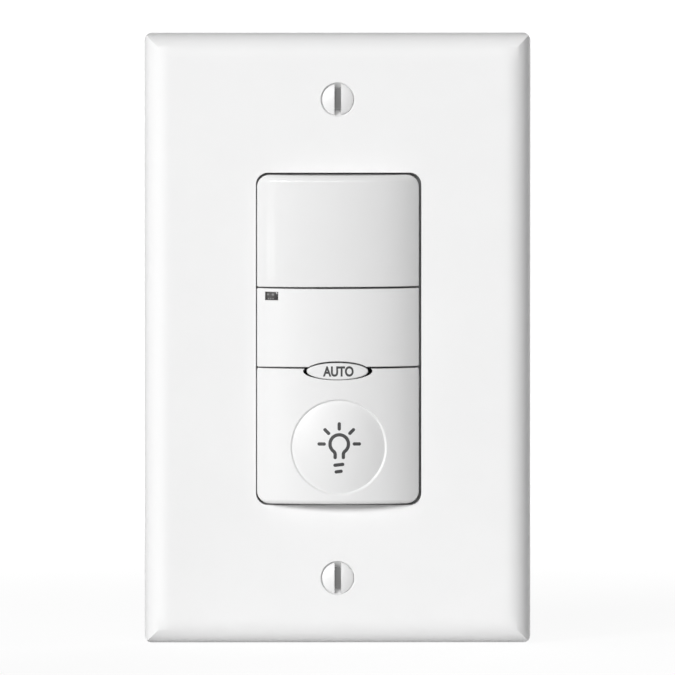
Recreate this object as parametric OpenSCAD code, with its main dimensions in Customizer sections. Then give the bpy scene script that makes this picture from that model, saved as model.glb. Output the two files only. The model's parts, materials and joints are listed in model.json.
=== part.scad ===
// Wall-box motion sensor switch: a crowned lens, a middle panel with an oval button and a hinged
// push plate, in a screw-on wall plate, with the strap, boards and housing behind it.
// X runs to the right, Z up, and the front faces -Y. The wall is the plane y = 0, and the origin
// lies midway between the two box screws.

/* [Wall plate] */
// width of the plate
plate_w = 78; // [74:0.5:84]
// height of the plate
plate_h = 123.4; // [120:0.2:128]
// how far the plate's front stands off the wall
plate_depth = 6.2; // [5.9:0.1:7]
// wall of the hollow plate
plate_wall = 2; // [1.5:0.1:2.2]
// rounding of the plate's front edges
plate_edge_r = 5; // [3:0.25:5]
// rounding of the plate's outer corners
plate_corner_r = 1.5; // [0.5:0.25:2.5]
// width of the opening
opening_w = 33.4; // [33:0.1:34]
// height of the opening
opening_h = 67.2; // [66.8:0.1:67.8]
// corner radius of the opening
opening_r = 2.4; // [1.8:0.1:3]
// wall of the collar behind the opening
collar_wall = 1.6; // [1.2:0.1:2]
// thickness of the stiffening ribs behind the plate
rib_t = 1.2; // [0.8:0.1:1.6]
// distance between the plate screws
plate_pitch = 96.84; // [96.4:0.02:97.2]

/* [Face] */
// gap at each side of the face
face_gap = 0.4; // [0.35:0.05:0.6]
// gap above the lens
face_top_gap = 0.5; // [0.3:0.05:0.7]
// gap below the push plate
face_bottom_gap = 0.4; // [0.35:0.05:0.6]
// how far the face's side edges stand in front of the plate
face_proud = 0.2; // [0.1:0.05:0.5]
// rise of the face from its side edges to its middle
face_crown = 4.2; // [3.6:0.1:4.6]
// rounding of the face's four outer corners
face_corner_r = 2.1; // [1.6:0.1:2.5]
// rounding of the small edges along the face
face_edge_r = 0.4; // [0.2:0.05:0.5]
// gap between the pieces of the face
seam_gap = 0.42; // [0.34:0.02:0.6]
// height of the seam between lens and middle panel
upper_seam_z = 10.5; // [10:0.1:11.5]
// height of the seam between middle panel and push plate
lower_seam_z = -5.68; // [-5.9:0.01:-5.5]
// skin of the middle panel and the push plate
skin_t = 1.4; // [1.2:0.1:1.5]
// side walls of the middle panel and the push plate
skirt_t = 1.1; // [0.9:0.1:1.2]

/* [Lens] */
// skin of the lens
lens_t = 0.9; // [0.7:0.1:1.1]
// rounding of the lens edges
lens_edge_r = 1.2; // [0.8:0.1:1.5]
// lenslets in a row
lenslet_cols = 5; // [3:1:6]
// rows of lenslets
lenslet_rows = 3; // [2:1:4]
// radius of a lenslet on the inner face
lenslet_r = 2; // [1.6:0.1:2.4]
// rise of a lenslet from the inner face
lenslet_rise = 0.22; // [0.14:0.02:0.3]

/* [Push plate] */
// sideways place of the dish
dish_x = 0.25; // [-0.5:0.05:0.5]
// height of the dish's centre
dish_z = -21.65; // [-22.2:0.05:-21.2]
// radius of the dish
dish_r = 9.65; // [8.5:0.05:10.3]
// depth of the dish at its middle
dish_sink = 0.2; // [0.1:0.05:0.3]
// depth of the dish at its rim
dish_rim = 0.45; // [0.4:0.05:0.6]
// distance of the hinge below the lower seam
hinge_drop = 2.73; // [2.6:0.01:2.9]
// radius of the hinge pins
pin_r = 0.8; // [0.7:0.02:0.84]
// running clearance of the hinge pins
pin_clear = 0.05; // [0.03:0.01:0.08]
// wall round the hinge bores
ear_wall = 0.8; // [0.7:0.02:0.84]
// width of each hinge ear
ear_w = 2.1; // [1.6:0.1:2.3]
// radius of the post that works the switch
post_r = 1.6; // [1.3:0.1:1.9]

/* [Oval button] */
// width of the oval
oval_w = 12.4; // [11.6:0.1:13]
// height of the oval
oval_h = 3.4; // [3:0.1:3.6]
// radius of the oval's tips
oval_tip_r = 0.75; // [0.6:0.05:0.9]
// height of the oval's centre
oval_z = -6.3; // [-6.5:0.05:-6.15]
// gap round the oval in the middle panel
oval_gap = 0.32; // [0.28:0.02:0.4]
// extra half width of the cut-out in the push plate
notch_extra = 0.75; // [0.4:0.05:1]
// gap below the oval in the push plate
notch_gap = 0.2; // [0.16:0.02:0.3]
// how far the oval stands in front of the face
oval_proud = 0.1; // [0:0.05:0.25]
// radius of the button's stem
stem_r = 1.5; // [1.3:0.05:1.6]

/* [Window] */
// sideways place of the sensor window
window_x = -13.27; // [-13.35:0.01:-13.1]
// height of the sensor window
window_z = 8.83; // [8.6:0.01:8.9]
// width of the sensor window
window_w = 2.5; // [2.1:0.1:2.5]
// height of the sensor window's pane
window_h = 1.6; // [1.3:0.1:1.6]

/* [Strap and frame] */
// thickness of the steel strap
strap_t = 1.3; // [1.1:0.1:1.4]
// width of the strap
strap_w = 44; // [43:0.5:47]
// height of the strap
strap_h = 106.4; // [105.4:0.2:108]
// distance between the box screws
box_pitch = 83.34; // [83.1:0.02:83.6]
// radius of the box screws
box_screw_r = 1.75; // [1.7:0.01:1.8]
// length of a box screw behind the strap
box_screw_len = 23; // [15:1:30]
// width of the box-screw slots
slot_w = 4.4; // [4.2:0.1:4.8]
// length of the box-screw slots
slot_len = 8; // [7:0.5:9]
// thickness of the frame's base
base_t = 1.5; // [1.3:0.1:1.6]
// width of the frame's base
frame_w = 41; // [40.6:0.2:43]
// height of the frame's base
frame_h = 71; // [70:0.5:72]
// sideways place of the frame's screw bosses
boss_x = 17.5; // [17.3:0.1:17.8]
// height of the frame's screw bosses
boss_z = 29.5; // [29.3:0.1:29.8]

/* [Housing and boards] */
// width of the housing
house_w = 44; // [43.6:0.2:46]
// height of the housing
house_h = 68; // [67:0.5:70]
// depth of the housing behind the wall plane
house_d = 31; // [30:0.5:36]
// wall of the housing
house_wall = 1.8; // [1.6:0.1:2]
// thickness of both circuit boards
board_t = 1.6; // [1.2:0.1:1.6]
// distance of the sensor board behind the wall plane
sensor_board_y = 5; // [5:0.1:5.4]
// distance of the power board behind the wall plane
power_board_y = 24; // [23.8:0.1:24.4]
// height of a terminal's screw from the middle
terminal_z = 12; // [11:0.5:13]
// radius of a binding screw
binding_r = 2; // [1.8:0.05:2.1]

/* [Push switches] */
// width of a push switch
tact_w = 6; // [5.8:0.1:6.2]
// height of a push switch from the board to the plunger's tip
tact_h = 5.2; // [5:0.1:5.4]
// working travel of both buttons
switch_travel = 0.5; // [0.3:0.05:0.55]
// free play between a button and its switch
free_play = 0.08; // [0.06:0.01:0.12]

/* [Hidden] */
$fn = 96;

// colours
white = [0.93, 0.93, 0.92];
pearl = [0.9, 0.9, 0.88];
smoke = [0.08, 0.07, 0.07];
grey = [0.55, 0.56, 0.57];
steel = [0.72, 0.73, 0.74];
zinc = [0.78, 0.77, 0.72];
brass = [0.8, 0.65, 0.3];
green = [0.1, 0.42, 0.2];
board_green = [0.07, 0.32, 0.18];
black = [0.09, 0.09, 0.1];
fibre = [0.82, 0.76, 0.6];
blue = [0.12, 0.22, 0.55];
amber = [0.75, 0.42, 0.1];
copper = [0.72, 0.4, 0.22];

// small overlap that lets pieces of one solid run into each other
lap = 0.2;
// clear distance between flat faces that pass each other
clear = 0.3;
// clear distance round a piece that is fitted and stays
fit = 0.1;

// layers from the wall towards the front
strap_front = -strap_t;
base_back = strap_front;
base_front = base_back - base_t;
plate_front = -plate_depth;
plate_back = plate_front + plate_wall;
collar_back = base_front - 0.4;
edge_r = min(plate_edge_r, plate_depth - 0.6);
rib_x = 27;
rib_z = 55;
rib_h = 1.8;

// crowned face: a large cylinder whose axis runs along Z behind the face
face_w = opening_w - 2 * face_gap;
face_edge_y = plate_front - face_proud;
apex_y = face_edge_y - face_crown;
crown_r = (pow(face_w / 2, 2) + pow(face_crown, 2)) / (2 * face_crown);
crown_cy = apex_y + crown_r;
dish_bulge = dish_rim - dish_sink;
dish_sag = crown_r - sqrt(pow(crown_r, 2) - pow(dish_r, 2));
dish_floor_rx = pow(dish_r, 2) / (2 * (dish_sag + dish_bulge));
dish_floor_rz = pow(dish_r, 2) / (2 * dish_bulge);
lens_z0 = upper_seam_z + seam_gap / 2;
lens_z1 = opening_h / 2 - face_top_gap;
panel_z0 = lower_seam_z + seam_gap / 2;
panel_z1 = upper_seam_z - seam_gap / 2;
main_z0 = face_bottom_gap - opening_h / 2;
main_z1 = lower_seam_z - seam_gap / 2;
pir_z = (lens_z0 + lens_z1) / 2;
panel_leg_z = (panel_z0 + panel_z1) / 2;

// hinge of the push plate and its swing
hinge_y = base_front - 0.6;
hinge_z = lower_seam_z - hinge_drop;
ear_r = pin_r + pin_clear + ear_wall;
ear_x1 = face_w / 2 - 1.55;
ear_x0 = ear_x1 - ear_w;
lug_x0 = ear_x1 + 0.25;
lug_r = pin_r + 0.7;
post_arm = hinge_z - dish_z;
press_angle = asin(switch_travel / post_arm);
bottom_sweep = (hinge_z - main_z0) * sin(press_angle);
main_back = base_front - bottom_sweep - 0.35;

// push switches, from the sensor board to the plunger's tip
tact_tip = sensor_board_y - tact_h;
tact_floor = sensor_board_y - 1.2;
tact_top = sensor_board_y - 3.3;
tact_cover_t = 0.2;
tact_cavity_r = tact_w / 2 - 0.5;
plunger_r = 1.7;
dome_rim_r = tact_cavity_r - 0.2;
dome_rise = 0.6;
dome_t = 0.12;
stem_end = tact_tip - free_play;

// snap legs of lens and panel
leg_x0 = 13;
leg_t = 1;
leg_hook = 0.6;
leg_hook_y = base_back + 0.05;
leg_end = base_back + 0.95;
leg_w = 4;

// circuit boards, one in the strap's window and one in the housing
strap_window_w = 30;
strap_window_h = 56;
sensor_board_room = 0.5;
power_board_room_x = 1.2;
power_board_room_z = 3.2;
sensor_board_w = strap_window_w - 2 * sensor_board_room;
sensor_board_h = strap_window_h - 2 * sensor_board_room;
power_board_w = house_w - 2 * house_wall - 2 * power_board_room_x;
power_board_h = house_h - 2 * house_wall - 2 * power_board_room_z;

// small parts on the sensor board
chip_rows = 4;
chip_row_x = 7.5;
chip_row_z = -18;
chip_row_step = 4;
chip_w = 2;
chip_h = 1.2;
chip_t = 0.6;

// infrared sensor
pir_r = 4.1;
pir_flange_r = 4.6;
pir_tab_r = 5.4;
pir_h = 4.6;
pir_view_w = 22;
pir_view_h = 17;
pir_pane_w = 5;
pir_pane_h = 4;
pir_top = sensor_board_y - pir_h;

// posts and screws
board_post_x = 12.5;
board_post_z = 25.8;
board_post_r = 1.6;
stake_r = 0.8;
stake_head_r = 1.3;
stake_head_t = 0.5;
boss_r = 2;
boss_end = sensor_board_y;
case_screw_r = 1.2;
case_head_r = 2.4;
case_head_t = 1.8;
column_r = 3;
window_back = sensor_board_y - 1.1;

// strap
box_z = box_pitch / 2;
plate_screw_z = plate_pitch / 2;
plate_screw_r = 1.7;
plate_head_r = 3.3;
csk_angle = 41;
csk_gap = 0.04;
plate_screw_end = 6.5;
neck_r = box_screw_r - 0.25;
box_head_r = 3.4;
box_head_t = 2.2;
plate_boss_r = plate_screw_z - box_z - box_head_r - clear;
ground_x = 17;
ground_z = -41;
ground_head_r = 3.6;
ground_head_t = 2.4;
ground_r = 1.7;

// power board, terminals and pockets
house_back_in = house_d - house_wall;
power_post_x = 12;
power_post_z = 24;
pocket_floor = house_w / 2 - 5.4;
pocket_wall = 1.4;
pocket_y0 = sensor_board_y - 0.8;
pocket_len = 12.6;
pocket_y1 = pocket_y0 + pocket_len;
pocket_hz = 5.2;
terminal_y = (pocket_y0 + pocket_y1) / 2;
terminal_t = 1.2;
clamp_t = 1.2;
tail_t = 0.8;
tail_hz = 1.5;
tail_end = power_board_y + board_t + 0.8;
binding_head_r = 3.9;
binding_head_t = 2.2;
// side (+1 right, -1 left) and height of each terminal
line_at = [1, terminal_z];
load_at = [1, -terminal_z];
neutral_at = [-1, 0];
terminals = [line_at, load_at, neutral_at];

// places of the mains parts on the power board, as x and z
relay_at = [-2, -17];
relay_size = [15.5, 15.3, 19];
film_at = [-2, 16];
film_size = [8, 13, 17];
smooth_at = [9.2, 15.6];
smooth_r = 5;
smooth_h = 9.5;
varistor_at = [11, -14];
varistor_r = 5;
varistor_t = 4;
fuse_at = [-11, 12];
fuse_r = 1.8;
fuse_len = 8;
choke_at = [10, 0.5];
choke_r = 4;
choke_h = 8;
rectifier_at = [-11, -2];
rectifier_size = [6, 3, 5];
link_at = [0, 2.5];
link_pins = 4;
link_pitch = 2.54;
lead_r = 0.4;
lead_end = power_board_y + board_t + 1;
relay_leads = [for (sx = [-1, 1], sz = [-1, 1]) [relay_at.x + 5 * sx, relay_at.y + 7 * sz]];
film_leads = [for (s = [-1, 1]) [film_at.x, film_at.y + 6.5 * s]];
smooth_leads = [for (s = [-1, 1]) [smooth_at.x + 2.5 * s, smooth_at.y]];
varistor_leads = [for (s = [-1, 1]) [varistor_at.x, varistor_at.y + 2.5 * s]];
choke_leads = [for (s = [-1, 1]) [choke_at.x, choke_at.y + 2.5 * s]];
link_leads = [for (i = [0 : link_pins - 1])
    [link_at.x + (i - (link_pins - 1) / 2) * link_pitch, link_at.y]];
pir_leads = [for (i = [0 : 2]) [2.54 * cos(90 + 90 * i), pir_z + 2.54 * sin(90 + 90 * i)]];
power_leads = concat(relay_leads, film_leads, smooth_leads, varistor_leads, choke_leads, link_leads);

// box between two opposite corners, in any order
module box(a, b) {
    translate([min(a.x, b.x), min(a.y, b.y), min(a.z, b.z)])
        cube([abs(a.x - b.x), abs(a.y - b.y), abs(a.z - b.z)]);
}

// outline in X and Z, drawn out from y0 back to y1
module slab(y0, y1) {
    translate([0, y1, 0])
        rotate([90, 0, 0])
            linear_extrude(height = y1 - y0)
                children();
}

// section in X and Y, drawn up from z0 to z1
module column(z0, z1) {
    translate([0, 0, z0])
        linear_extrude(height = z1 - z0)
            children();
}

// section in Y and Z, drawn out from x0 to x1
module bar(x0, x1) {
    translate([x0, 0, 0])
        rotate([90, 0, 90])
            linear_extrude(height = x1 - x0)
                children();
}

// round rod along Y, with its radius at each end
module rod_y(x, z, r, y0, y1, r_back = -1) {
    translate([x, y1, z])
        rotate([90, 0, 0])
            cylinder(h = y1 - y0, r1 = r_back < 0 ? r : r_back, r2 = r);
}

// round rod along X between two places, in any order
module rod_x(y, z, r, xa, xb) {
    translate([min(xa, xb), y, z])
        rotate([0, 90, 0])
            cylinder(h = abs(xa - xb), r = r);
}

// children at the places listed as x and z
module at_each(places) {
    for (p = places)
        translate([p.x, 0, p.y])
            children();
}

// children at the four places that mirror x and z
module at_corners(x, z) {
    for (sx = [-1, 1], sz = [-1, 1])
        translate([sx * x, 0, sz * z])
            children();
}

// rectangle with rounded corners, about the middle
module rrect(w, h, r) {
    square([w, h - 2 * r], center = true);
    square([w - 2 * r, h], center = true);
    for (sx = [-1, 1], sz = [-1, 1])
        translate([sx * (w / 2 - r), sz * (h / 2 - r)])
            circle(r);
}

// slot with round ends, about the middle and along X
module slot(len, w) {
    square([len - w, w], center = true);
    for (s = [-1, 1])
        translate([s * (len - w) / 2, 0])
            circle(w / 2);
}

// distance from an oval's middle to the centre of its long arcs
function arc_drop(hw, hh, tip) = (pow(hw - tip, 2) - pow(hh - tip, 2)) / (2 * (hh - tip));

// oval of four arcs that meet smoothly, with half width, half height and tip radius
module oval(hw, hh, tip) {
    a = hw - tip;
    b = arc_drop(hw, hh, tip);
    big = b + hh;
    meet = a * big / (big - tip);
    intersection() {
        translate([0, -b])
            circle(big);
        translate([0, b])
            circle(big);
        square([2 * meet, 4 * hh], center = true);
    }
    for (s = [-1, 1])
        translate([s * a, 0])
            circle(tip);
}

// outline of a piece of the face, with its lower and upper corner radii
module face_outline(z0, z1, r_low, r_high, inset = 0) {
    hw = face_w / 2 - inset;
    rl = max(r_low - inset, 0.3);
    rh = max(r_high - inset, 0.3);
    b0 = z0 + inset;
    b1 = z1 - inset;
    translate([-hw, b0 + rl])
        square([2 * hw, b1 - b0 - rl - rh]);
    translate([rl - hw, b0])
        square([2 * (hw - rl), b1 - b0 - rh]);
    translate([rh - hw, b0 + rl])
        square([2 * (hw - rh), b1 - b0 - rl]);
    for (s = [-1, 1]) {
        translate([s * (hw - rl), b0 + rl])
            circle(rl);
        translate([s * (hw - rh), b1 - rh])
            circle(rh);
    }
}

// everything behind the crowned surface, between two heights, with rounded upper and lower edges
module crown_body(z0, z1, inset = 0, round = 0) {
    r = crown_r - inset;
    translate([0, crown_cy, 0])
        rotate_extrude() {
            translate([0, z0 + round])
                square([r, z1 - z0 - 2 * round]);
            if (round > 0) {
                translate([0, z0])
                    square([r - round, z1 - z0]);
                for (z = [z0 + round, z1 - round])
                    translate([r - round, z])
                        circle(round);
            }
        }
}

// everything between the face's sides, with rounded front edges
module side_body(z0, z1, round) {
    hw = face_w / 2;
    yf = crown_cy - sqrt(pow(crown_r - round, 2) - pow(hw - round, 2)) + 0.02;
    column(z0, z1) {
        translate([round - hw, apex_y - 1])
            square([2 * (hw - round), 1 - apex_y]);
        translate([-hw, yf])
            square([2 * hw, -yf]);
        for (s = [-1, 1])
            translate([s * (hw - round), yf])
                circle(round);
    }
}

// crowned cup that opens to the back: skin in front and a wall all round
module face_cup(z0, z1, r_low, r_high, skin, wall, back, round) {
    difference() {
        intersection() {
            crown_body(z0, z1, 0, round);
            side_body(z0 - 1, z1 + 1, round);
            slab(apex_y - 1, back)
                face_outline(z0, z1, r_low, r_high);
        }
        intersection() {
            crown_body(z0 - 1, z1 + 1, skin);
            slab(apex_y - 1, back + 1)
                face_outline(z0, z1, r_low, r_high, wall);
        }
    }
}

// pair of snap legs with their feet, at a height and with a width
module snap_legs(z, w) {
    for (s = [-1, 1]) {
        box([s * leg_x0, base_front - 1.2, z - w / 2],
            [s * (face_w / 2 - skirt_t + lap), base_front, z + w / 2]);
        box([s * leg_x0, base_front - 1.2, z - w / 2],
            [s * (leg_x0 + leg_t), leg_end, z + w / 2]);
        box([s * (leg_x0 + leg_t - lap), leg_hook_y, z - w / 2],
            [s * (leg_x0 + leg_t + leg_hook), leg_end, z + w / 2]);
    }
}

// holes in the frame's base for a pair of snap legs
module leg_holes(z, w) {
    for (s = [-1, 1])
        box([s * (leg_x0 - fit), base_front - 1, z - w / 2 - fit],
            [s * (leg_x0 + leg_t + fit), base_back + 1, z + w / 2 + fit]);
}

// plate's side profile: a bar with both front edges rounded, as offset across and depth
module plate_profile(half, depth, r) {
    intersection() {
        union() {
            translate([r - half, -depth])
                square([2 * (half - r), depth]);
            translate([-half, r - depth])
                square([2 * half, depth - r]);
            for (s = [-1, 1])
                translate([s * (half - r), r - depth])
                    circle(r);
        }
        translate([-half - 1, -depth - 1])
            square([2 * half + 2, depth + 1]);
    }
}

// solid whose four front edges are rounded and meet in mitres at the corners
module plate_solid(w, h, depth, r) {
    intersection() {
        column(-h / 2 - 1, h / 2 + 1)
            plate_profile(w / 2, depth, r);
        bar(-w / 2 - 1, w / 2 + 1)
            rotate(-90)
                plate_profile(h / 2, depth, r);
    }
}

module wall_plate() {
    color(white)
        difference() {
            union() {
                difference() {
                    intersection() {
                        plate_solid(plate_w, plate_h, plate_depth, edge_r);
                        slab(plate_front - 1, 0)
                            rrect(plate_w, plate_h, plate_corner_r);
                    }
                    plate_solid(plate_w - 2 * plate_wall, plate_h - 2 * plate_wall, -plate_back,
                                edge_r - plate_wall);
                }
                slab(plate_back - lap, collar_back)
                    rrect(opening_w + 2 * collar_wall, opening_h + 2 * collar_wall,
                          opening_r + collar_wall);
                for (s = [-1, 1]) {
                    rod_y(0, s * plate_screw_z, plate_boss_r, plate_back - lap, strap_front - clear);
                    box([s * rib_x - rib_t / 2, plate_back - lap, plate_wall - plate_h / 2 - lap],
                        [s * rib_x + rib_t / 2, plate_back + rib_h, plate_h / 2 - plate_wall + lap]);
                    box([-rib_x, plate_back - lap, s * rib_z - rib_t / 2],
                        [rib_x, plate_back + rib_h, s * rib_z + rib_t / 2]);
                }
            }
            slab(plate_front - 1, 1)
                rrect(opening_w, opening_h, opening_r);
            for (s = [-1, 1]) {
                rod_y(0, s * plate_screw_z, plate_screw_r + 0.25, plate_front - 1, 1);
                rod_y(0, s * plate_screw_z, plate_head_r + csk_gap + tan(csk_angle), plate_front - 1,
                      plate_front + (plate_head_r - 0.5) / tan(csk_angle), 0.5 + csk_gap);
            }
        }
}

// oval-head plate screw along Y, driven by a straight slot
module plate_screw() {
    cone_h = (plate_head_r - plate_screw_r) / tan(csk_angle);
    oval_rise = 0.9;
    oval_r = (pow(plate_head_r, 2) + pow(oval_rise, 2)) / (2 * oval_rise);
    difference() {
        rotate([90, 0, 0])
            rotate_extrude() {
                polygon([[0, -plate_screw_end], [plate_screw_r - 0.5, -plate_screw_end],
                         [plate_screw_r, 0.6 - plate_screw_end], [plate_screw_r, -plate_front - cone_h],
                         [plate_head_r, -plate_front], [0, -plate_front]]);
                intersection() {
                    translate([0, oval_rise - oval_r - plate_front])
                        circle(oval_r);
                    translate([0, -plate_front])
                        square([plate_head_r, oval_rise]);
                }
            }
        box([-0.6, plate_front - 2, -plate_head_r - 1], [0.6, plate_front + 0.35, plate_head_r + 1]);
    }
}

module plate_screws() {
    color(white)
        for (s = [-1, 1])
            translate([0, 0, s * plate_screw_z])
                plate_screw();
}

module lens() {
    inner_r = crown_r - lens_t;
    ball_r = (pow(lenslet_r, 2) + pow(lenslet_rise, 2)) / (2 * lenslet_rise);
    pitch_x = (face_w - 2 * lens_edge_r - 2) / lenslet_cols;
    pitch_z = (lens_z1 - lens_z0 - 2 * lens_edge_r - 1) / lenslet_rows;
    color(pearl)
        union() {
            face_cup(lens_z0, lens_z1, 0.4, face_corner_r, lens_t, skirt_t, base_front, lens_edge_r);
            snap_legs(pir_z, leg_w);
            intersection() {
                crown_body(lens_z0 + 1, lens_z1 - 1, lens_t - 0.25);
                union()
                    for (i = [0 : lenslet_cols - 1], j = [0 : lenslet_rows - 1]) {
                        turn = asin((i - (lenslet_cols - 1) / 2) * pitch_x / inner_r);
                        translate([0, crown_cy, pir_z + (j - (lenslet_rows - 1) / 2) * pitch_z])
                            rotate([0, 0, turn])
                                translate([0, lenslet_rise - ball_r - inner_r, 0])
                                    sphere(ball_r);
                    }
            }
        }
}

// room for the window's pane and flange, grown by a gap
module window_room(gap, y0, y1) {
    box([window_x - window_w / 2 - gap, y0, window_z - window_h / 2 - gap],
        [window_x + window_w / 2 + gap, y1, window_z + window_h / 2 + gap]);
}

module window_flange(gap, y0) {
    box([window_x - window_w / 2 - 0.35 - gap, y0, window_z - window_h / 2 - 0.8 - gap],
        [window_x + window_w / 2 + 0.6 + gap, base_front, window_z + window_h / 2 + gap]);
}

module middle_panel() {
    color(white)
        difference() {
            union() {
                face_cup(panel_z0, panel_z1, 0.3, 0.6, skin_t, skirt_t, base_front, face_edge_r);
                snap_legs(panel_leg_z, leg_w - 1);
            }
            slab(apex_y - 1, base_front + 1)
                translate([0, oval_z])
                    oval(oval_w / 2 + oval_gap, oval_h / 2 + oval_gap, oval_tip_r + oval_gap);
            window_room(0.06, apex_y - 1, base_front + 1);
            window_flange(0.06, base_front - 1);
        }
}

module light_pipe() {
    color(smoke)
        union() {
            intersection() {
                window_room(0, apex_y, window_back);
                crown_body(panel_z0, panel_z1, 0.12);
            }
            window_flange(0, base_front - 0.8);
        }
}

module mode_button() {
    cap_back = apex_y + 2.4;
    color(white)
        union() {
            intersection() {
                slab(apex_y - 1, cap_back)
                    translate([0, oval_z])
                        oval(oval_w / 2, oval_h / 2, oval_tip_r);
                crown_body(oval_z - oval_h, oval_z + oval_h, -oval_proud);
            }
            rod_y(0, oval_z, stem_r, cap_back - lap, stem_end);
            rod_y(0, oval_z, stem_r + 0.7, leg_hook_y, leg_hook_y + 0.6);
        }
}

// round recess in the push plate, whose floor is gently domed both ways
module dish() {
    difference() {
        rod_y(dish_x, dish_z, dish_r, apex_y - 2, apex_y + 2.5);
        translate([dish_x, apex_y + dish_sink + dish_floor_rx, dish_z])
            rotate_extrude()
                intersection() {
                    translate([dish_floor_rx - dish_floor_rz, 0])
                        circle(dish_floor_rz, $fn = 360);
                    translate([dish_floor_rx / 2, -dish_r - 1])
                        square([dish_floor_rx, 2 * dish_r + 2]);
                }
    }
}

// cut-out round the oval: an arc along the oval's lower edge, between straight sides
module notch_outline() {
    hw = oval_w / 2 + notch_extra;
    b = arc_drop(oval_w / 2, oval_h / 2, oval_tip_r);
    intersection() {
        translate([0, b])
            circle(b + oval_h / 2 + notch_gap);
        translate([-hw, -oval_h])
            square([2 * hw, 2 * oval_h]);
    }
}

module main_button() {
    rib_front = apex_y + skin_t - lap;
    rib_back = apex_y + skin_t + 1.8;
    rib_reach = 0.57 * dish_r;
    rib_half = 0.5;
    color(white)
        union() {
            difference() {
                face_cup(main_z0, main_z1, face_corner_r, 0.4, skin_t, skirt_t, main_back, face_edge_r);
                dish();
                slab(apex_y - 1, base_front)
                    translate([0, oval_z])
                        notch_outline();
                for (s = [-1, 1])
                    box([s * (ear_x0 - clear), hinge_y - ear_r - clear, hinge_z - ear_r - clear],
                        [s * lug_x0, base_front, main_z1 + 1]);
            }
            for (s = [-1, 1]) {
                rod_x(hinge_y, hinge_z, lug_r, s * lug_x0, s * face_w / 2);
                box([s * lug_x0, face_edge_y + face_edge_r + 0.1, hinge_z - lug_r],
                    [s * face_w / 2, hinge_y, hinge_z + lug_r]);
                rod_x(hinge_y, hinge_z, pin_r, s * (lug_x0 + lap), s * (ear_x0 - 0.1));
            }
            rod_y(0, dish_z, post_r, rib_front, stem_end);
            box([-rib_reach, rib_front, dish_z - rib_half], [rib_reach, rib_back, dish_z + rib_half]);
            box([-rib_half, rib_front, dish_z - rib_reach], [rib_half, rib_back, dish_z + rib_reach]);
        }
}

module front_frame() {
    color(grey)
        difference() {
            union() {
                slab(base_front, base_back)
                    rrect(frame_w, frame_h, 3);
                for (s = [-1, 1]) {
                    rod_x(hinge_y, hinge_z, ear_r, s * ear_x0, s * ear_x1);
                    box([s * ear_x0, hinge_y, hinge_z - ear_r], [s * ear_x1, base_back, hinge_z + ear_r]);
                }
                at_corners(board_post_x, board_post_z) {
                    rod_y(0, 0, board_post_r, base_back - lap, sensor_board_y);
                    rod_y(0, 0, stake_r, sensor_board_y - lap, sensor_board_y + board_t + lap);
                    rod_y(0, 0, stake_head_r, sensor_board_y + board_t,
                          sensor_board_y + board_t + stake_head_t);
                }
                at_corners(boss_x, boss_z)
                    rod_y(0, 0, boss_r, base_back - lap, boss_end);
            }
            slab(base_front - 1, base_back + 1)
                translate([0, pir_z])
                    rrect(pir_view_w, pir_view_h, 2);
            rod_y(0, oval_z, stem_r + clear, base_front - 1, base_back + 1);
            rod_y(0, dish_z, post_r + 1, base_front - 1, base_back + 1);
            window_room(fit, base_front - 1, base_back + 1);
            leg_holes(pir_z, leg_w);
            leg_holes(panel_leg_z, leg_w - 1);
            for (s = [-1, 1]) {
                rod_x(hinge_y, hinge_z, pin_r + pin_clear, s * (ear_x0 - 1), s * (ear_x1 + 1));
                box([s * ear_x1, base_front - 1, hinge_z - lug_r - 0.5],
                    [s * (face_w / 2 + 0.4), base_back + 1, hinge_z + lug_r + 0.5]);
            }
            at_corners(boss_x, boss_z)
                rod_y(0, 0, case_screw_r + 0.05, 0, boss_end + 1);
        }
}

module mounting_strap() {
    color(steel)
        difference() {
            slab(strap_front, 0)
                difference() {
                    rrect(strap_w, strap_h, 4);
                    square([strap_window_w, strap_window_h], center = true);
                    for (sx = [-1, 1], sz = [-1, 1]) {
                        translate([sx * boss_x, sz * boss_z])
                            circle(boss_r + fit);
                        translate([sx * strap_w / 2, sz * 46.5])
                            circle(1.2);
                        translate([sx * (strap_w / 2 - 6), sz * strap_h / 2])
                            circle(1.2);
                        translate([sx * 9, sz * plate_screw_z])
                            circle(1.6);
                    }
                    for (s = [-1, 1]) {
                        translate([0, s * box_z])
                            slot(slot_len, slot_w);
                        translate([0, s * plate_screw_z])
                            circle(plate_screw_r + 0.05);
                    }
                    translate([ground_x, ground_z])
                        circle(ground_r + 0.05);
                }
        }
}

// pan-head screw along Y with its seat at y = 0 and its head in front, with a cross recess
module pan_head(r, h) {
    difference() {
        union() {
            rod_y(0, 0, r, -h * 0.55, 0);
            rod_y(0, 0, r * 0.8, -h, -h * 0.5, r);
        }
        box([-r * 0.62, -h - 1, -0.45], [r * 0.62, -h * 0.35, 0.45]);
        box([-0.45, -h - 1, -r * 0.62], [0.45, -h * 0.35, r * 0.62]);
    }
}

module box_screws() {
    color(zinc)
        for (s = [-1, 1])
            translate([0, 0, s * box_z]) {
                translate([0, strap_front, 0])
                    pan_head(box_head_r, box_head_t);
                rod_y(0, 0, neck_r, strap_front - lap, lap);
                rod_y(0, 0, box_screw_r, 0, box_screw_len - 0.8);
                rod_y(0, 0, box_screw_r, box_screw_len - 0.8, box_screw_len, box_screw_r - 0.5);
            }
}

module screw_retainers() {
    color(fibre)
        for (s = [-1, 1])
            slab(strap_front, 0)
                translate([0, s * box_z])
                    difference() {
                        slot(slot_len - 0.1, slot_w - 0.1);
                        circle(neck_r + 0.06);
                    }
}

module ground_screw() {
    color(green)
        translate([ground_x, 0, ground_z]) {
            rotate([0, 0, 180])
                pan_head(ground_head_r, ground_head_t);
            rod_y(0, 0, ground_r, strap_front - 1, lap);
        }
}

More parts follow.
